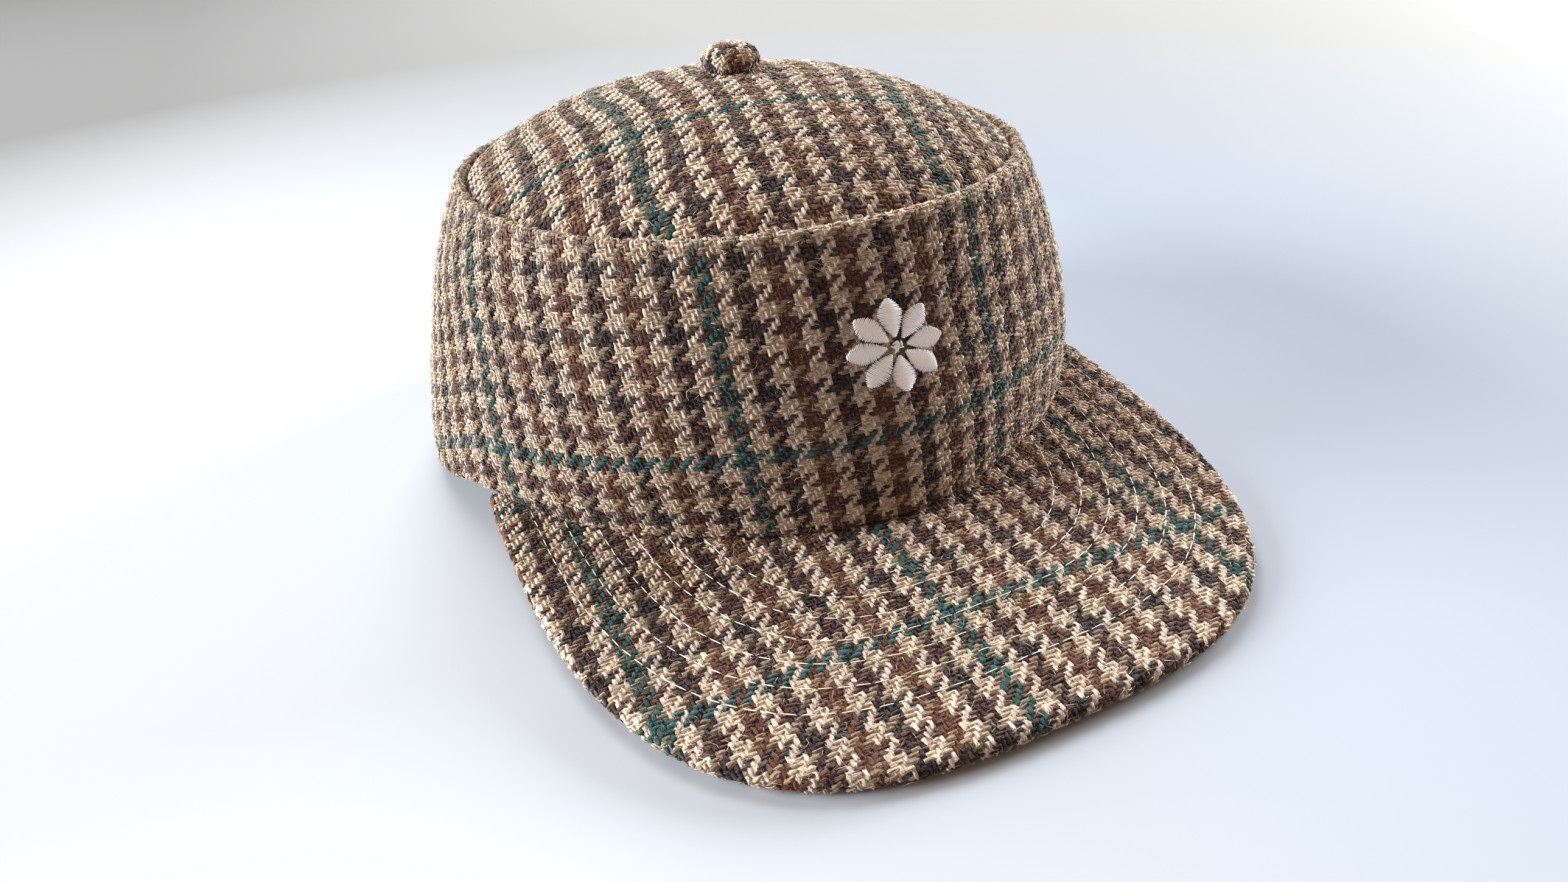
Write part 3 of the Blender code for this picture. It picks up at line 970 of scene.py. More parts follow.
# %% Make the button's body and its guide
# step along the outline, reach as a share of the radius, height as a share of the whole
BUTTON = (
    (0, 0.80, 0.00), (1, 0.94, 0.12), (2, 1.00, 0.32), (3, 0.97, 0.54), (4, 0.85, 0.76),
    (5, 0.62, 0.91), (6, 0.32, 0.985), (7, 0.02, 1.00),
)
BUTTON_PLEATS = 11
PLEAT_DEPTH = 0.28
PLEATS_END = 4.5
TEAL_ON_BUTTON = (-19.0, 13.0)


def button_rows(turn):
    """Rows from the button's middle down its side to where it is sewn on, and its plan laid flat."""
    angle = np.radians(turn)
    middle = top_dome(np.zeros(1), 0.0)[0]
    rows, plan = [], []
    travelled = 0.0
    last = None
    for step in np.linspace(7.0, 0.0, 36):
        reach = follow(BUTTON, 1, step) * BUTTON_RADIUS - GROUND_DEPTH
        rise = follow(BUTTON, 2, step) * BUTTON_HEIGHT + SEAM_GAP - GROUND_DEPTH * min(1.0, step)
        fade = max(0.0, 1 - step / PLEATS_END)
        pleats = PLEAT_DEPTH * np.cos(BUTTON_PLEATS * angle + 1.3) * fade
        radius = max(reach, 0.0) + pleats - PLEAT_DEPTH * fade
        sink = top_dome(turn, max(reach, 0.0) / (RIDGE_HALF_WIDTH - TOP_INSET))[..., 2] - middle[2]
        z = middle[2] + rise + sink * (1 - follow(BUTTON, 2, step))
        here = np.array([reach, rise])
        travelled += 0.0 if last is None else float(np.linalg.norm(here - last))
        last = here
        rows.append(np.stack([radius * np.sin(angle), RIDGE_SETBACK - radius * np.cos(angle), z], -1))
        plan.append(np.stack([travelled * np.sin(angle), -travelled * np.cos(angle), z], -1))
    return np.array(rows), np.array(plan)


button_turns = np.linspace(-180.0, 180.0, 73)
button_outside, button_plan = button_rows(button_turns)
button_foot = button_outside[-1].copy()
button_foot[..., :2] = (0.0, RIDGE_SETBACK)
button_grid = np.concatenate([button_outside, button_foot[None]])
button_flat = np.concatenate([button_plan, button_plan[-1:]])[..., :2]
button_map = threads_origin(button_flat - TEAL_ON_BUTTON)
button_body = cloth_body("button_cloth", weld(cloth_grid("button_cloth", button_grid, button_map)))
button_guide = guide_sheet("button_guide", button_outside, button_map[: len(button_outside)])
print("the button is", round(2 * np.abs(button_outside[..., 0]).max(), 1), "mm across")

# %% [markdown]
# The peak
#
# The peak is a stiff board between two layers of tweed, turned at the edge and topstitched. Lines run
# across it from the crown's seam to the outer edge. Each line goes over the upper face, round the edge
# and back underneath. The upper cloth is drawn round the edge down to the lower face, where the lower
# cloth meets it, and both end in the seam under the band.

# %% Lines across the peak
PEAK_LINES = 129
PEAK_TUCK = 0.4


def peak_lines(share):
    """The seam end and the outer end of each line, in plan."""
    inner = rim_line(share * PEAK_END_TURN, CLOTH + HEM + PEAK_TUCK)[..., :2]
    side_y = float(rim_line(np.array(PEAK_END_TURN))[1])
    return inner, np.stack(outer_edge(share, side_y), -1)


def peak_rows(share, depth=GROUND_DEPTH):
    """Rows of the upper cloth and of the lower cloth, each with its places on the flat cloth."""
    inner, outer = peak_lines(share)
    across = outer - inner
    length = np.linalg.norm(across, axis=-1, keepdims=True)
    rounding = np.minimum(PEAK_THICKNESS / 2, 0.45 * length)

    def row(reach, lower):
        plan = inner + across * reach
        return np.concatenate([plan, (peak_top(plan[..., 0], plan[..., 1]) - lower)[..., None]], -1)

    upper, upper_flat, under, under_flat = [], [], [], []
    for reach in np.linspace(0.0, 1.0, 32):
        inside = reach * (1 - rounding / length)
        upper.append(row(inside, depth))
        upper_flat.append(upper[-1][..., :2])
        under.append(row(inside, PEAK_THICKNESS - depth))
        under_flat.append(under[-1][..., :2] * (-1, 1))
    half = PEAK_THICKNESS / 2
    for angle in np.radians(np.linspace(90, -90, 13))[1:]:
        reach = 1 - (rounding - (rounding - depth) * math.cos(angle)) / length
        upper.append(row(reach, half - (half - depth) * math.sin(angle)))
        travelled = (math.pi / 2 - angle) * (half - depth)
        upper_flat.append(inner + across * (1 - rounding / length + travelled / length))
    return (np.array(rows) for rows in (upper, upper_flat, under, under_flat))


seam_end, tip_end = (ends[0] for ends in peak_lines(np.zeros(1)))
print("the peak is", round(float(np.linalg.norm(tip_end - seam_end)), 1), "mm deep in its middle")

# %% Make the peak's body and its guide
# the lines stand a little closer together towards the peak's sides
steps_across = np.linspace(-1.0, 1.0, PEAK_LINES)
peak_shares = np.copysign(np.abs(steps_across) ** 0.9, steps_across)
peak_upper, peak_upper_flat, peak_under, peak_under_flat = peak_rows(peak_shares)
upper_map = threads_origin(peak_upper_flat - TEAL_ON_PEAK)
under_map = threads_origin(peak_under_flat - TEAL_ON_PEAK)


def closed_layer(name, grid, flat):
    """A layer of cloth whose two ends are drawn together halfway through the peak's thickness."""
    ends = grid[:, [0, -1]].copy()
    ends[..., 2] = peak_top(ends[..., 0], ends[..., 1]) - PEAK_THICKNESS / 2
    closed = np.concatenate([ends[:, :1], grid, ends[:, 1:]], 1)
    return cloth_grid(name, closed, np.concatenate([flat[:, :1], flat, flat[:, -1:]], 1))


def join_meshes(name, parts):
    """One mesh from several that share their borders, welded and turned outwards."""
    work = bmesh.new()
    for part in parts:
        work.from_mesh(part)
    mesh = bpy.data.meshes.new(name)
    work.to_mesh(mesh)
    work.free()
    return weld(mesh)


seam_edge = np.stack([peak_upper[0], peak_under[0]])
seam_flat = np.stack([upper_map[0], upper_map[0] - (0.0, PEAK_THICKNESS)])
peak_mesh = join_meshes("peak_cloth", [
    closed_layer("peak_upper", peak_upper, upper_map),
    closed_layer("peak_under", peak_under, under_map),
    closed_layer("peak_seam", seam_edge, seam_flat),
])
peak_mesh.shade_smooth()
peak_body = cloth_body("peak_cloth", peak_mesh, faces_down)
peak_guide = guide_sheet("peak_guide", peak_upper, upper_map)
print("the peak's body has", len(peak_body.data.polygons), "faces")

# %% [markdown]
# Laying things on the cloth
#
# Grains of yarn, stray hairs and stitches are all made flat first, on the plane of the uncut cloth, where
# the weave is a plain lattice. Then one node group carries every point to the finished piece: it looks
# up where that place of the flat cloth has gone, and lifts the point by its own height along the
# surface's normal. So a grain bends over the rolled seam as real yarn does. What falls off the edge of
# the cloth is left out whole, never cut in half. The group also writes the painted highlight of the roll
# and the cloth's upright direction on each grain, for the material to read.

# %% Helpers for Geometry Nodes
def new_tree(name, sockets):
    """An empty Geometry Nodes tree with its inputs and one geometry output."""
    tree = bpy.data.node_groups.new(name, "GeometryNodeTree")
    for label, kind in sockets:
        tree.interface.new_socket(label, in_out="INPUT", socket_type="NodeSocket" + kind)
    tree.interface.new_socket("Geometry", in_out="OUTPUT", socket_type="NodeSocketGeometry")
    given = tree.nodes.new("NodeGroupInput").outputs
    return tree, given


def give_back(tree, geometry):
    """Links the finished geometry to the tree's output."""
    tree.links.new(geometry, tree.nodes.new("NodeGroupOutput").inputs[0])


def vector(tree, x=0.0, y=0.0, z=0.0):
    """Three numbers as one vector socket."""
    return add(tree, "ShaderNodeCombineXYZ", {0: x, 1: y, 2: z}).outputs[0]


def chance(tree, low, high, seed):
    """A random number for each element, the same in every run."""
    inputs = {2: low, 3: high, "Seed": seed}
    return add(tree, "FunctionNodeRandomValue", inputs, data_type="FLOAT").outputs[1]


def store(tree, geometry, name, value, kind="FLOAT", domain="POINT"):
    """Writes a value on the geometry, under a name by which it can be read later."""
    inputs = {"Geometry": geometry, "Name": name, "Value": value}
    return add(tree, "GeometryNodeStoreNamedAttribute", inputs, data_type=kind, domain=domain).outputs[0]


def stored(tree, name, kind="FLOAT"):
    """Reads a value that was written on the geometry."""
    return add(tree, "GeometryNodeInputNamedAttribute", {"Name": name}, data_type=kind).outputs[0]


# %% Build the group that lays flat things on a guide
def lay_on_cloth_group():
    """Carries flat geometry to the surface whose map says where each place of the cloth has gone."""
    tree, given = new_tree("lay_on_cloth", (("Flat", "Geometry"), ("Guide", "Geometry")))
    normal = add(tree, "GeometryNodeInputNormal").outputs[0]
    smooth = tree.nodes.new("GeometryNodeCaptureAttribute")
    smooth.domain = "POINT"
    smooth.capture_items.new("VECTOR", "Normal")
    tree.links.new(given["Guide"], smooth.inputs["Geometry"])
    tree.links.new(normal, smooth.inputs["Normal"])
    place = add(tree, "GeometryNodeInputPosition").outputs[0]
    parts = add(tree, "ShaderNodeSeparateXYZ", {0: place})
    spot = vector(tree, parts.outputs[0], parts.outputs[1])
    guide_map = stored(tree, FLAT_MAP, "FLOAT_VECTOR")

    def look_up(value):
        """A value of the guide at this spot of the flat cloth, and whether the cloth goes that far."""
        inputs = {
            "Mesh": smooth.outputs["Geometry"], "Value": value, "Source UV Map": guide_map, "Sample UV": spot,
        }
        node = add(tree, "GeometryNodeSampleUVSurface", inputs, data_type="FLOAT_VECTOR")
        return node.outputs["Value"], node.outputs["Is Valid"]

    surface, on_cloth = look_up(place)
    upright = look_up(smooth.outputs["Normal"])[0]
    # the painted highlight of the roll's crest, read from the guide
    highlight_share = look_up(stored(tree, "worn"))[0]
    island = add(tree, "GeometryNodeInputMeshIsland").outputs["Island Index"]
    inputs = {"Value": calc(tree, "SUBTRACT", 1.0, on_cloth), "Group ID": island}
    missed = add(tree, "GeometryNodeAccumulateField", inputs, data_type="FLOAT", domain="POINT")
    stray = calc(tree, "GREATER_THAN", missed.outputs["Total"], 0.5)
    target = calc_three(tree, "ADD", surface, scaled(tree, upright, parts.outputs[2]))

    marked = store(tree, given["Flat"], FLAT_MAP, spot, "FLOAT2", "CORNER")
    marked = store(tree, marked, "upright", upright, "FLOAT_VECTOR")
    marked = store(tree, marked, "worn", highlight_share)
    marked = store(tree, marked, "stray", stray)
    moved = add(tree, "GeometryNodeSetPosition", {"Geometry": marked, "Position": target}).outputs[0]
    inputs = {"Geometry": moved, "Selection": stored(tree, "stray")}
    give_back(tree, add(tree, "GeometryNodeDeleteGeometry", inputs, domain="POINT").outputs[0])
    return tree


lay_on_cloth = lay_on_cloth_group()
print("the laying group has", len(lay_on_cloth.nodes), "nodes")


# %% Helpers that set small pieces on points and finish a tree
ALONG_X = (0.0, math.pi / 2, 0.0)
ALONG_Y = (math.pi / 2, 0.0, 0.0)


def laid_down(tree, piece, turn):
    """A small upright piece, turned to lie down."""
    return add(tree, "GeometryNodeTransform", {"Geometry": piece, "Rotation": turn}).outputs[0]


def lying_ball(tree, segments, rings, turn):
    """A ball that is one unit long, with its poles at its two ends."""
    inputs = {"Segments": segments, "Rings": rings, "Radius": 0.5}
    return laid_down(tree, add(tree, "GeometryNodeMeshUVSphere", inputs).outputs[0], turn)


def set_on(tree, points, piece, turn, size):
    """A copy of a small piece on every point, turned and sized."""
    inputs = {"Points": points, "Instance": piece, "Rotation": turn, "Scale": size}
    return add(tree, "GeometryNodeInstanceOnPoints", inputs).outputs[0]


def made_real(tree, copies, offset):
    """The copies as real geometry, every point of it moved by an offset."""
    real = add(tree, "GeometryNodeRealizeInstances", {"Geometry": copies}).outputs[0]
    return add(tree, "GeometryNodeSetPosition", {"Geometry": real, "Offset": offset}).outputs[0]


def lay_and_finish(tree, given, flat):
    """Lays flat geometry on the guide, smooths it and gives it its material."""
    guide = add(tree, "GeometryNodeObjectInfo", {"Object": given["Guide"]}).outputs["Geometry"]
    laid = add(tree, "GeometryNodeGroup", {"Flat": flat, "Guide": guide}, node_tree=lay_on_cloth).outputs[0]
    smooth = add(tree, "GeometryNodeSetShadeSmooth", {"Geometry": laid}).outputs[0]
    inputs = {"Geometry": smooth, "Material": given["Material"]}
    give_back(tree, add(tree, "GeometryNodeSetMaterial", inputs).outputs[0])


def grow(name, tree, settings, seeds=None):
    """Runs a tree on a new object and keeps what it made as a plain mesh."""
    thing = show(seeds or bpy.data.meshes.new(name), name)
    modifier = thing.modifiers.new("recipe", "NODES")
    modifier.node_group = tree
    for socket in tree.interface.items_tree:
        if socket.in_out == "INPUT" and socket.name in settings:
            modifier[socket.identifier] = settings[socket.name]
    shown = thing.evaluated_get(bpy.context.evaluated_depsgraph_get())
    made = bpy.data.meshes.new_from_object(shown)
    thing.modifiers.remove(modifier)
    thing.data = made
    made.name = name
    print(name, "has", sum(len(face.vertices) - 2 for face in made.polygons), "triangles")
    return thing


# %% [markdown]
# Grains of yarn
#
# In a two and two twill a thread lies on top for two crossings, dives under the next two and comes up
# again. Each stretch on top looks like a grain of rice. Thread number t of the warp comes up once in
# every four rows, always one row later than its neighbour, and the weft fills the places between.
#
# The tree makes one point for each grain from nothing but its number, sets a grain on it and picks the
# dye by the thread's number in the draft. Warp and weft use the same tree with other numbers. Small
# random changes in size, angle and tone keep it from looking knitted by a machine. Three functions work
# out where each grain lies, what dye it has and how large it is, and a fourth puts the tree together.
#
# Wool felts in wear, so a light grain takes on some of the dye of the thread that it crosses, the weft
# more than the warp. That is what joins the dark checks into columns. The dark yarns felt down flat, and
# the teal yarn is a little stouter than the rest, so its lines stand out.

# %% Where each grain lies
GRAIN_JITTER = 0.09


def choose(tree, weft, for_warp, for_weft, kind="FLOAT"):
    """One value for the warp and another for the weft."""
    return add(tree, "GeometryNodeSwitch", {0: weft, 1: for_warp, 2: for_weft}, input_type=kind).outputs[0]


def grain_places(tree, given):
    """The thread of each grain, how many threads it has come along it, and its middle on the map."""
    number = add(tree, "GeometryNodeInputIndex").outputs[0]
    row = calc(tree, "FLOOR", calc(tree, "DIVIDE", calc(tree, "ADD", number, 0.5), given["Threads"]))
    column = calc(tree, "SUBTRACT", number, calc(tree, "MULTIPLY", row, given["Threads"]))
    thread = calc(tree, "ADD", column, given["First Thread"])
    whole_steps = calc(tree, "MULTIPLY", calc(tree, "ADD", row, given["First Step"]), TWILL)
    stepped = calc(tree, "ADD", whole_steps, calc(tree, "FLOORED_MODULO", thread, TWILL))
    come = calc(tree, "ADD", stepped, given["Shift"])

    jitter = calc(tree, "MULTIPLY", given["Width"], GRAIN_JITTER)
    along = calc(tree, "MULTIPLY", come, given["Along Pitch"])
    along = calc(tree, "MULTIPLY_ADD", chance(tree, -1.0, 1.0, given["Seed"]), jitter, along)
    across = calc(tree, "MULTIPLY", calc(tree, "ADD", thread, 0.5), given["Across Pitch"])
    across = calc(tree, "MULTIPLY_ADD", chance(tree, -1.0, 1.0, 11), jitter, across)
    x = calc(tree, "ADD", choose(tree, given["Weft"], across, along), MAP_MIDDLE)
    y = calc(tree, "ADD", choose(tree, given["Weft"], along, across), MAP_MIDDLE)
    return thread, come, vector(tree, x, y, given["Lift"])


# %% What dye each grain has
FELTED_WARP = 0.12
FELTED_WEFT = 0.56
HEATHER_DYE = paint(140, 110, 90)


def grain_dye(tree, given, thread, come):
    """The dye of each grain's own thread, and the tone that felting and spinning make of it."""
    crossed = calc(tree, "SUBTRACT", come, 0.3)
    own = (dye_ramp(tree, thread, WARP_ORDER, WARP_DYES), dye_ramp(tree, thread, WEFT_ORDER, WEFT_DYES))
    other = (dye_ramp(tree, crossed, WEFT_ORDER, WEFT_DYES), dye_ramp(tree, crossed, WARP_ORDER, WARP_DYES))
    dye = choose(tree, given["Weft"], *own, "RGBA")
    dye_across = choose(tree, given["Weft"], *other, "RGBA")
    lightness = add(tree, "ShaderNodeVectorMath", {0: dye}, operation="LENGTH").outputs["Value"]
    most = calc(tree, "MULTIPLY_ADD", given["Weft"], FELTED_WEFT - FELTED_WARP, FELTED_WARP)
    felted = blend(tree, spread(tree, lightness, 0.15, 0.9, 0.0, most), dye, dye_across)
    heathered = blend(tree, chance(tree, 0.0, 0.09, 29), felted, HEATHER_DYE)
    return dye, scaled(tree, heathered, chance(tree, 0.74, 1.16, 23))


# %% How large each grain is
FLATTEST = 0.45
STOUTEST = 1.45


def grain_size(tree, given, dye):
    """The width, length and height of each grain: dark ones lie flat, and teal ones are stout."""
    parts = add(tree, "ShaderNodeSeparateXYZ", {0: dye})
    red, green = parts.outputs[0], parts.outputs[1]
    plump = spread(tree, green, 0.03, 0.12, FLATTEST, 1.0)
    stout = spread(tree, calc(tree, "SUBTRACT", green, red), 0.03, 0.08, 1.0, STOUTEST)
    width = calc(tree, "MULTIPLY", given["Width"], stout)
    height = calc(tree, "MULTIPLY", given["Height"], calc(tree, "MULTIPLY", plump, stout))
    return vector(
        tree,
        calc(tree, "MULTIPLY", width, chance(tree, 0.72, 1.15, 41)),
        calc(tree, "MULTIPLY", given["Length"], chance(tree, 0.82, 1.15, 43)),
        calc(tree, "MULTIPLY", height, chance(tree, 0.75, 1.2, 47)),
    )


# %% Build the tree that makes a lattice of grains
def grain_tree():
    """All grains of one direction of the weave, laid on a guide."""
    tree, given = new_tree("yarn_grains", (
        ("Guide", "Object"), ("Material", "Material"), ("Weft", "Bool"), ("First Thread", "Int"),
        ("Threads", "Int"), ("First Step", "Int"), ("Steps", "Int"), ("Shift", "Float"),
        ("Across Pitch", "Float"), ("Along Pitch", "Float"), ("Length", "Float"), ("Width", "Float"),
        ("Height", "Float"), ("Lift", "Float"), ("Lean", "Float"), ("Seed", "Int"),
    ))
    thread, come, middle = grain_places(tree, given)
    dye, tone = grain_dye(tree, given, thread, come)
    count = calc(tree, "MULTIPLY", given["Threads"], given["Steps"])
    points = add(tree, "GeometryNodePoints", {"Count": count}).outputs[0]
    placed = add(tree, "GeometryNodeSetPosition", {"Geometry": points, "Position": middle}).outputs[0]
    dyed = store(tree, placed, "dye", tone, "FLOAT_COLOR")

    grain = lying_ball(tree, 4, 3, ALONG_Y)
    quarter = calc(tree, "MULTIPLY", given["Weft"], math.pi / 2)
    turn = calc(tree, "ADD", calc(tree, "ADD", quarter, given["Lean"]), chance(tree, -0.16, 0.16, 31))
    grains = set_on(tree, dyed, grain, vector(tree, z=turn), grain_size(tree, given, dye))
    lumps = add(tree, "ShaderNodeTexNoise", {"Scale": 1500.0, "Detail": 1.0}).outputs["Color"]
    push = calc_three(tree, "SUBTRACT", lumps, (0.5, 0.5, 0.5))
    ragged = made_real(tree, grains, scaled(tree, push, calc(tree, "MULTIPLY", given["Width"], 1.15)))
    lay_and_finish(tree, given, ragged)
    return tree


grains = grain_tree()
print("the tree of grains has", len(grains.nodes), "nodes")


# %% Lay the warp and the weft on every piece
def map_corners(guide):
    """The lowest and the highest corner of a guide's cloth on its map."""
    layer = guide.data.uv_layers[FLAT_MAP]
    spots = np.empty(len(layer.uv) * 2)
    layer.uv.foreach_get("vector", spots)
    spots = spots.reshape(-1, 2)
    return spots.min(0), spots.max(0)


def lay_yarn(name, guide, weft, seed):
    """The grains of one direction on one guide, over just the threads that its cloth takes up."""
    pitch = (WARP_PITCH * MM, WEFT_PITCH * MM)
    low, high = ((corner - MAP_MIDDLE) / pitch for corner in map_corners(guide))
    low, high = np.floor(low).astype(int), np.ceil(high).astype(int)
    thread_axis, step_axis = (1, 0) if weft else (0, 1)
    settings = {
        "Guide": guide, "Material": weft_yarn if weft else warp_yarn, "Weft": weft, "Seed": seed,
        "First Thread": int(low[thread_axis]) - 1,
        "Threads": int(high[thread_axis] - low[thread_axis]) + 2,
        "First Step": int(low[step_axis]) // TWILL - 1,
        "Steps": int(high[step_axis] - low[step_axis]) // TWILL + 3,
        "Shift": 3.0 if weft else 0.0,
        "Across Pitch": pitch[thread_axis],
        "Along Pitch": pitch[step_axis],
        "Length": (2.65 if weft else 2.3) * MM,
        "Width": (1.16 if weft else 1.06) * MM,
        "Height": (0.66 if weft else 0.70) * MM,
        "Lift": 0.12 * MM,
        "Lean": 0.0 if weft else math.radians(10),
    }
    return grow(name, grains, settings)


GUIDES = {"band": band_guide, "top": top_guide, "button": button_guide, "peak": peak_guide}
dressing = []
for part, guide in GUIDES.items():
    dressing.append((lay_yarn(f"{part}_warp_yarn", guide, False, 5), part))
    dressing.append((lay_yarn(f"{part}_weft_yarn", guide, True, 6), part))

# %% [markdown]
# Stray hairs
#
# Tweed is spun from rough wool, and fibres stand off it everywhere. Most are short and only blur the
# weave, which is why the dark checks look like felt. Some are long and curl over the cloth in thin arcs.
# The short ones are slivers, cones with three sides and a flat foot, so that many thousands can be had.
# The long ones are arcs swept into thin tubes that taper at both ends. Both are strewn over the flat
# cloth at random places and angles, and then laid on it like the grains.
#
# A hair has the dye of the thread below it, or else it is foreign and takes any of a few wool colours.
# One sliver in four is foreign, and four arcs in five.

# %% Strew one kind of hair
HAIR_DYES = (
    paint(196, 172, 146), paint(112, 96, 90), paint(176, 138, 96), paint(96, 66, 52), paint(222, 208, 188),
    paint(150, 116, 82), paint(84, 72, 72), paint(202, 172, 138),
)


def strewn(tree, given, count, piece, seed, size, tilt, foreign):
    """Hairs in a rectangle of flat cloth, turned and tilted at random. foreign is a share of them."""
    points = add(tree, "GeometryNodePoints", {"Count": count}).outputs[0]
    inputs = {0: given["Low"], 1: given["High"], "Seed": calc(tree, "ADD", given["Seed"], float(seed))}
    spot = add(tree, "FunctionNodeRandomValue", inputs, data_type="FLOAT_VECTOR").outputs[0]
    placed = add(tree, "GeometryNodeSetPosition", {"Geometry": points, "Position": spot}).outputs[0]
    own = crossing(tree, spot)[3]
    other = stepped_ramp(tree, chance(tree, 0.0, 1.0, seed + 1), HAIR_DYES)
    dye = blend(tree, calc(tree, "LESS_THAN", chance(tree, 0.0, 1.0, seed + 5), foreign), own, other)
    turn = vector(
        tree,
        chance(tree, -tilt, tilt, seed + 2),
        chance(tree, -tilt, tilt, seed + 3),
        chance(tree, 0.0, 2 * math.pi, seed + 4),
    )
    return set_on(tree, store(tree, placed, "dye", dye, "FLOAT_COLOR"), piece, turn, size)


# %% Shape the short hairs and the long ones
def sliver_piece(tree, given):
    """A short hair and its size."""
    cone = add(tree, "GeometryNodeMeshCone", {
        "Vertices": 3, "Side Segments": 1, "Radius Top": 0.0, "Radius Bottom": 0.5, "Depth": 1.0,
    }).outputs[0]
    length = calc(tree, "MULTIPLY", given["Sliver Length"], chance(tree, 0.4, 1.6, 61))
    return laid_down(tree, cone, ALONG_X), vector(tree, length, given["Thickness"], given["Thickness"])


def arc_piece(tree, given):
    """A long curled hair, swept from an arc and tapered, and its size. Few are large."""
    inputs = {"Resolution": 5, "Radius": given["Arc Radius"], "Sweep Angle": 2.2}
    arc = add(tree, "GeometryNodeCurveArc", inputs).outputs[0]
    share = add(tree, "GeometryNodeSplineParameter").outputs["Factor"]
    taper = calc(tree, "POWER", calc(tree, "SINE", calc(tree, "MULTIPLY", share, math.pi)), 0.5)
    inputs = {"Curve": arc, "Radius": calc(tree, "ADD", taper, 0.15)}
    tapered = add(tree, "GeometryNodeSetCurveRadius", inputs).outputs[0]
    inputs = {"Resolution": 3, "Radius": calc(tree, "MULTIPLY", given["Thickness"], 0.36)}
    ring = add(tree, "GeometryNodeCurvePrimitiveCircle", inputs).outputs[0]
    inputs = {"Curve": tapered, "Profile Curve": ring, "Fill Caps": True}
    tube = add(tree, "GeometryNodeCurveToMesh", inputs).outputs[0]
    size = calc(tree, "ADD", calc(tree, "POWER", chance(tree, 0.0, 1.0, 91), 2.5), 0.45)
    return tube, vector(tree, size, size, size)


# %% Build the tree that strews hairs
HAIR_DRIFT = (1.6 * MM, 1.6 * MM, 1.1 * MM)


def hair_tree():
    """Both kinds of hair, joined, bent and raised by a soft noise, and laid on a guide."""
    tree, given = new_tree("stray_hairs", (
        ("Guide", "Object"), ("Material", "Material"), ("Low", "Vector"), ("High", "Vector"),
        ("Slivers", "Int"), ("Arcs", "Int"), ("Sliver Length", "Float"), ("Arc Radius", "Float"),
        ("Thickness", "Float"), ("Lift", "Float"), ("Seed", "Int"),
    ))
    sliver, sliver_size = sliver_piece(tree, given)
    arc, arc_size = arc_piece(tree, given)
    both = tree.nodes.new("GeometryNodeJoinGeometry")
    slivers = strewn(tree, given, given["Slivers"], sliver, 70, sliver_size, tilt=0.34, foreign=0.25)
    tree.links.new(slivers, both.inputs[0])
    arcs = strewn(tree, given, given["Arcs"], arc, 80, arc_size, tilt=0.22, foreign=0.8)
    tree.links.new(arcs, both.inputs[0])
    wander = add(tree, "ShaderNodeTexNoise", {"Scale": 420.0, "Detail": 1.0}).outputs["Color"]
    centred = calc_three(tree, "SUBTRACT", wander, (0.5, 0.5, 0.42))
    drift = calc_three(tree, "MULTIPLY", centred, HAIR_DRIFT)
    raised = calc_three(tree, "ADD", drift, vector(tree, z=given["Lift"]))
    lay_and_finish(tree, given, made_real(tree, both.outputs[0], raised))
    return tree


hairs = hair_tree()
print("the tree of hairs has", len(hairs.nodes), "nodes")


# %% Make the hair material
def plain_wool(name):
    """Single hairs, dyed by the attribute that the tree wrote."""
    material, tree, shader = new_material(name, 0.7, 0.3)
    place = add(tree, "ShaderNodeTexCoord").outputs["Object"]
    tone = calc(tree, "MULTIPLY_ADD", noise(tree, place, 700.0, 1.0), 0.8, 0.6)
    tree.links.new(scaled(tree, attribute(tree, "dye", "Color"), tone), shader.inputs["Base Color"])
    return material


hair_wool = plain_wool("stray_wool")
print("the hairs take", len(hair_wool.node_tree.nodes), "nodes")

# %% Strew hairs over every piece
SLIVERS_PER_CM2 = 34.0
ARCS_PER_CM2 = 6.4
HAIR_SEEDS = {"band": 300, "top": 400, "button": 500, "peak": 600}
for part, guide in GUIDES.items():
    low, high = map_corners(guide)
    area = float(np.prod((high - low) * 100))
    hair_piece = grow(f"{part}_stray_hairs", hairs, {
        "Guide": guide, "Material": hair_wool, "Seed": HAIR_SEEDS[part],
        "Low": (*low, 0.0), "High": (*high, 0.0),
        "Slivers": int(area * SLIVERS_PER_CM2), "Arcs": int(area * ARCS_PER_CM2),
        "Sliver Length": 1.9 * MM, "Arc Radius": 1.5 * MM, "Thickness": 0.078 * MM, "Lift": 0.42 * MM,
    })
    dressing.append((hair_piece, part))

# %% [markdown]
# Topstitching on the peak
#
# Six rows of pale thread hold the layers of the peak together. They run side by side along the outer
# edge and up to the band on both sides, a little closer together at the front than at the sides. Each
# row is drawn in plan as a smaller copy of the edge's own line, and cut off where the band covers it.
# Geometry Nodes walk along each row and set a stitch at every step, turned the way the row runs.

# %% Draw the rows on the flat cloth
STITCH_ROWS = 6
FIRST_ROW_FROM_SIDE = 8.5
FIRST_ROW_FROM_FRONT = 15.5
SPACING_AT_SIDE = 6.5
SPACING_AT_FRONT = 5.6
STITCH_PITCH = 3.9
STITCH_LENGTH = 3.1
STITCH_WIDTH = 0.25
CLEAR_OF_BAND = 0.6


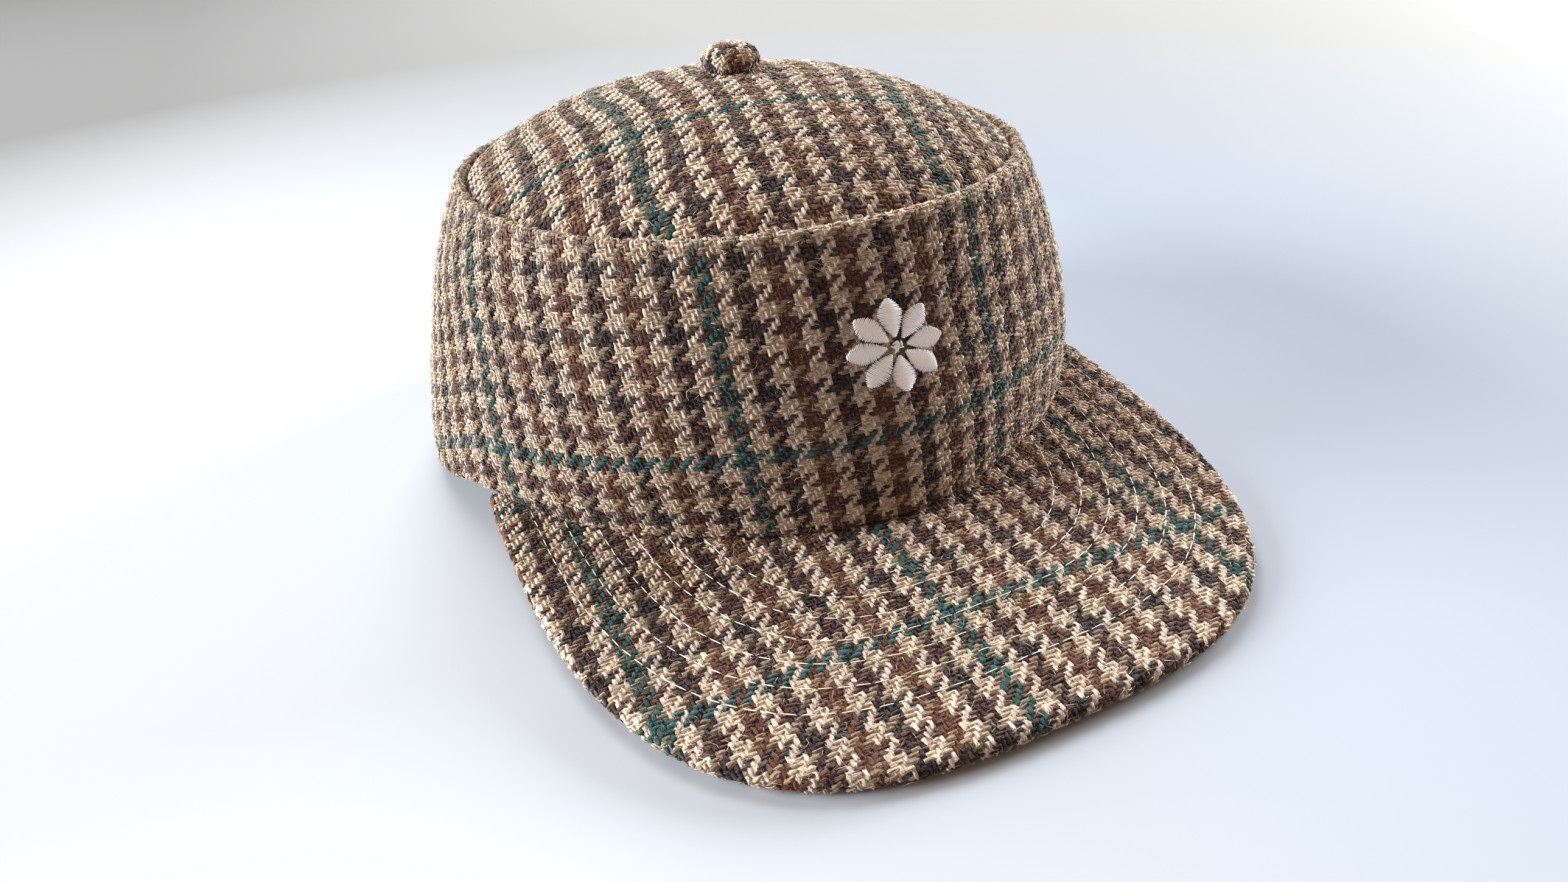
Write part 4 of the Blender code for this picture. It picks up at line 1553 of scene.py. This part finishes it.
def row_on_peak(number):
    """One row in plan: a smaller copy of the outer edge, as far as it lies outside the band."""
    angle = np.radians(np.linspace(-90, 90, 721))
    side_y = float(rim_line(np.array(PEAK_END_TURN))[1])
    half_width = PEAK_HALF_WIDTH - FIRST_ROW_FROM_SIDE - SPACING_AT_SIDE * number
    tip = PEAK_TIP - FIRST_ROW_FROM_FRONT - SPACING_AT_FRONT * number
    x = half_width * squarer(np.sin(angle), PEAK_SQUARENESS)
    y = side_y - (tip + side_y) * squarer(np.cos(angle), PEAK_SQUARENESS)
    turn = np.degrees(np.arctan2(x, -y))
    rim = np.linalg.norm(rim_line(turn)[..., :2], axis=-1)
    return np.stack([x, y], -1)[np.hypot(x, y) > rim + CLEAR_OF_BAND]


rows_mesh = bpy.data.meshes.new("stitch_rows")
row_points, row_edges = [], []
for number in range(STITCH_ROWS):
    row = threads_origin(row_on_peak(number) - TEAL_ON_PEAK) * MM
    start = len(row_points)
    row_points += [(x, y, 0.0) for x, y in row]
    row_edges += [(start + i, start + i + 1) for i in range(len(row) - 1)]
rows_mesh.from_pydata(row_points, row_edges, [])
print("the rows of stitching take", len(row_points), "points")


# %% Build the stitching tree and sew
def stitch_tree():
    """A stitch at every step along each row, laid on the cloth."""
    tree, given = new_tree("topstitching", (
        ("Rows", "Geometry"), ("Guide", "Object"), ("Material", "Material"), ("Pitch", "Float"),
        ("Length", "Float"), ("Width", "Float"), ("Lift", "Float"),
    ))
    lines = add(tree, "GeometryNodeMeshToCurve", {"Mesh": given["Rows"]}).outputs[0]
    inputs = {"Curve": lines, "Length": given["Pitch"]}
    walked = add(tree, "GeometryNodeResampleCurve", inputs, mode="LENGTH").outputs[0]
    ahead = {"Vector": add(tree, "GeometryNodeInputTangent").outputs[0]}
    turn = add(tree, "FunctionNodeAlignRotationToVector", ahead, axis="X", pivot_axis="Z").outputs[0]
    wobble = {"Euler": vector(tree, z=chance(tree, -0.07, 0.07, 5))}
    inputs = {"Rotation": turn, "Rotate By": add(tree, "FunctionNodeEulerToRotation", wobble).outputs[0]}
    skewed = add(tree, "FunctionNodeRotateRotation", inputs, rotation_space="LOCAL").outputs[0]
    length = calc(tree, "MULTIPLY", given["Length"], chance(tree, 0.9, 1.06, 6))
    size = vector(tree, length, given["Width"], given["Width"])
    sewn = set_on(tree, walked, lying_ball(tree, 6, 4, ALONG_X), skewed, size)
    lay_and_finish(tree, given, made_real(tree, sewn, vector(tree, z=given["Lift"])))
    return tree


def sewing_thread(name, colour, roughness):
    """Twisted thread: a plain dye with a fine ply across it."""
    material, tree, shader = new_material(name, roughness, 0.35)
    place = add(tree, "ShaderNodeTexCoord").outputs["Object"]
    ply = noise(tree, place, 4200.0, 1.0)
    toned = scaled(tree, colour[:3], calc(tree, "MULTIPLY_ADD", ply, 0.35, 0.82))
    tree.links.new(toned, shader.inputs["Base Color"])
    bump = add(tree, "ShaderNodeBump", {"Height": ply, "Distance": 0.05 * MM, "Strength": 0.6})
    tree.links.new(bump.outputs[0], shader.inputs["Normal"])
    return material


stitches = grow("peak_topstitching", stitch_tree(), {
    "Guide": peak_guide, "Material": sewing_thread("pale_sewing_thread", paint(232, 226, 206), 0.6),
    "Pitch": STITCH_PITCH * MM, "Length": STITCH_LENGTH * MM, "Width": STITCH_WIDTH * MM,
    "Lift": 0.56 * MM,
}, seeds=rows_mesh)
dressing.append((stitches, "peak"))

# %% [markdown]
# A flower in satin stitch
#
# The front of the band carries a small flower in white thread. Satin stitch lays threads side by side
# until they cover the cloth, so each of the eight petals is a row of stitches across its own middle line,
# longest where the petal is widest. A knot of short stitches closes the centre. Each stitch is one point
# with its turn and its length, and Geometry Nodes set a thread on every point, as for the topstitching.

# %% Plan the stitches of the flower
FLOWER_PLACE = (0.7, 44.0)
PETALS = 8
PETAL_START = 2.6
PETAL_END = 12.0
PETAL_WIDTH = 6.0
SATIN_PITCH = 0.40
SHORTEST_STITCH = 0.8
KNOT_STITCHES = 9
KNOT_LENGTH = 1.7


def polar(reach, turn):
    """A place in plan from its distance and its direction."""
    return reach * math.cos(turn), reach * math.sin(turn)


def flower_stitches():
    """The middle, the turn and the length of every stitch, in millimetres about the flower's centre."""
    stitches = []
    for petal in range(PETALS):
        along = 2 * math.pi * petal / PETALS
        for reach in np.arange(PETAL_START, PETAL_END, SATIN_PITCH):
            share = (reach - PETAL_START) / (PETAL_END - PETAL_START)
            # a leaf shape, widest a little past its middle
            width = PETAL_WIDTH * math.sin(math.pi * min(0.97, 0.06 + 0.92 * share) ** 1.25) ** 0.75
            stitches.append((*polar(reach, along), along + math.pi / 2, max(width, SHORTEST_STITCH)))
    for knot in range(KNOT_STITCHES):
        stitches.append((*polar(0.42 * math.sqrt(knot), 2.4 * knot), 0.6 * knot, KNOT_LENGTH))
    return np.array(stitches)


satin = flower_stitches()
flower_middle = threads_origin(flat_band(*map(np.array, FLOWER_PLACE)) - TEAL_ON_BAND) * MM
flower_mesh = bpy.data.meshes.new("flower_plan")
flower_spots = np.column_stack([satin[:, :2] * MM + flower_middle, np.zeros(len(satin))])
flower_mesh.from_pydata(flower_spots.tolist(), [], [])
for label, column in (("turn", 2), ("length", 3)):
    flower_mesh.attributes.new(label, "FLOAT", "POINT").data.foreach_set("value", satin[:, column])
print("the flower takes", len(satin), "stitches")


# %% Sew the flower
def satin_tree():
    """A thread on every planned point, as long and turned as the plan says."""
    tree, given = new_tree("satin_stitch", (
        ("Plan", "Geometry"), ("Guide", "Object"), ("Material", "Material"), ("Width", "Float"),
        ("Height", "Float"), ("Lift", "Float"),
    ))
    turn = calc(tree, "ADD", stored(tree, "turn"), chance(tree, -0.03, 0.03, 3))
    length = calc(tree, "MULTIPLY", stored(tree, "length"), MM)
    length = calc(tree, "MULTIPLY", length, chance(tree, 0.95, 1.05, 6))
    size = vector(tree, length, given["Width"], given["Height"])
    points = add(tree, "GeometryNodeMeshToPoints", {"Mesh": given["Plan"]}).outputs[0]
    sewn = set_on(tree, points, lying_ball(tree, 6, 5, ALONG_X), vector(tree, z=turn), size)
    lay_and_finish(tree, given, made_real(tree, sewn, vector(tree, z=given["Lift"])))
    return tree


flower = grow("band_flower", satin_tree(), {
    "Guide": band_guide, "Material": sewing_thread("white_embroidery_thread", paint(250, 250, 254), 0.45),
    "Width": 0.5 * MM, "Height": 0.75 * MM, "Lift": 0.72 * MM,
}, seeds=flower_mesh)
dressing.append((flower, "band"))

# %% [markdown]
# Handing the pieces over
#
# Each body of cloth stands for the solid part that it covers, and the yarn on it goes with it. The
# guides have done their work and are taken away. At the end the boxes of the solid and of the dressed
# cap are compared in a print, which shows that the cloth has hardly made the cap larger.

# %% Hang every piece under one body, hide the solid parts and finish
for guide in GUIDES.values():
    bpy.data.objects.remove(guide, do_unlink=True)

BODIES = (
    (band_body, "side_band", "band"), (top_body, "top_panel", "top"),
    (button_body, "crown_button", "button"), (peak_body, "peak", "peak"),
)
for body, node, part in BODIES:
    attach(body, "root")
    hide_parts(node)
for piece, part in dressing:
    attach(piece, "root")

dressed_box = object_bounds()
grown = [round((b - a) / MM, 2) for a, b in zip(solid_box[1] - solid_box[0], dressed_box[1] - dressed_box[0])]
print("the dressed cap differs from the solid one by", grown, "mm")
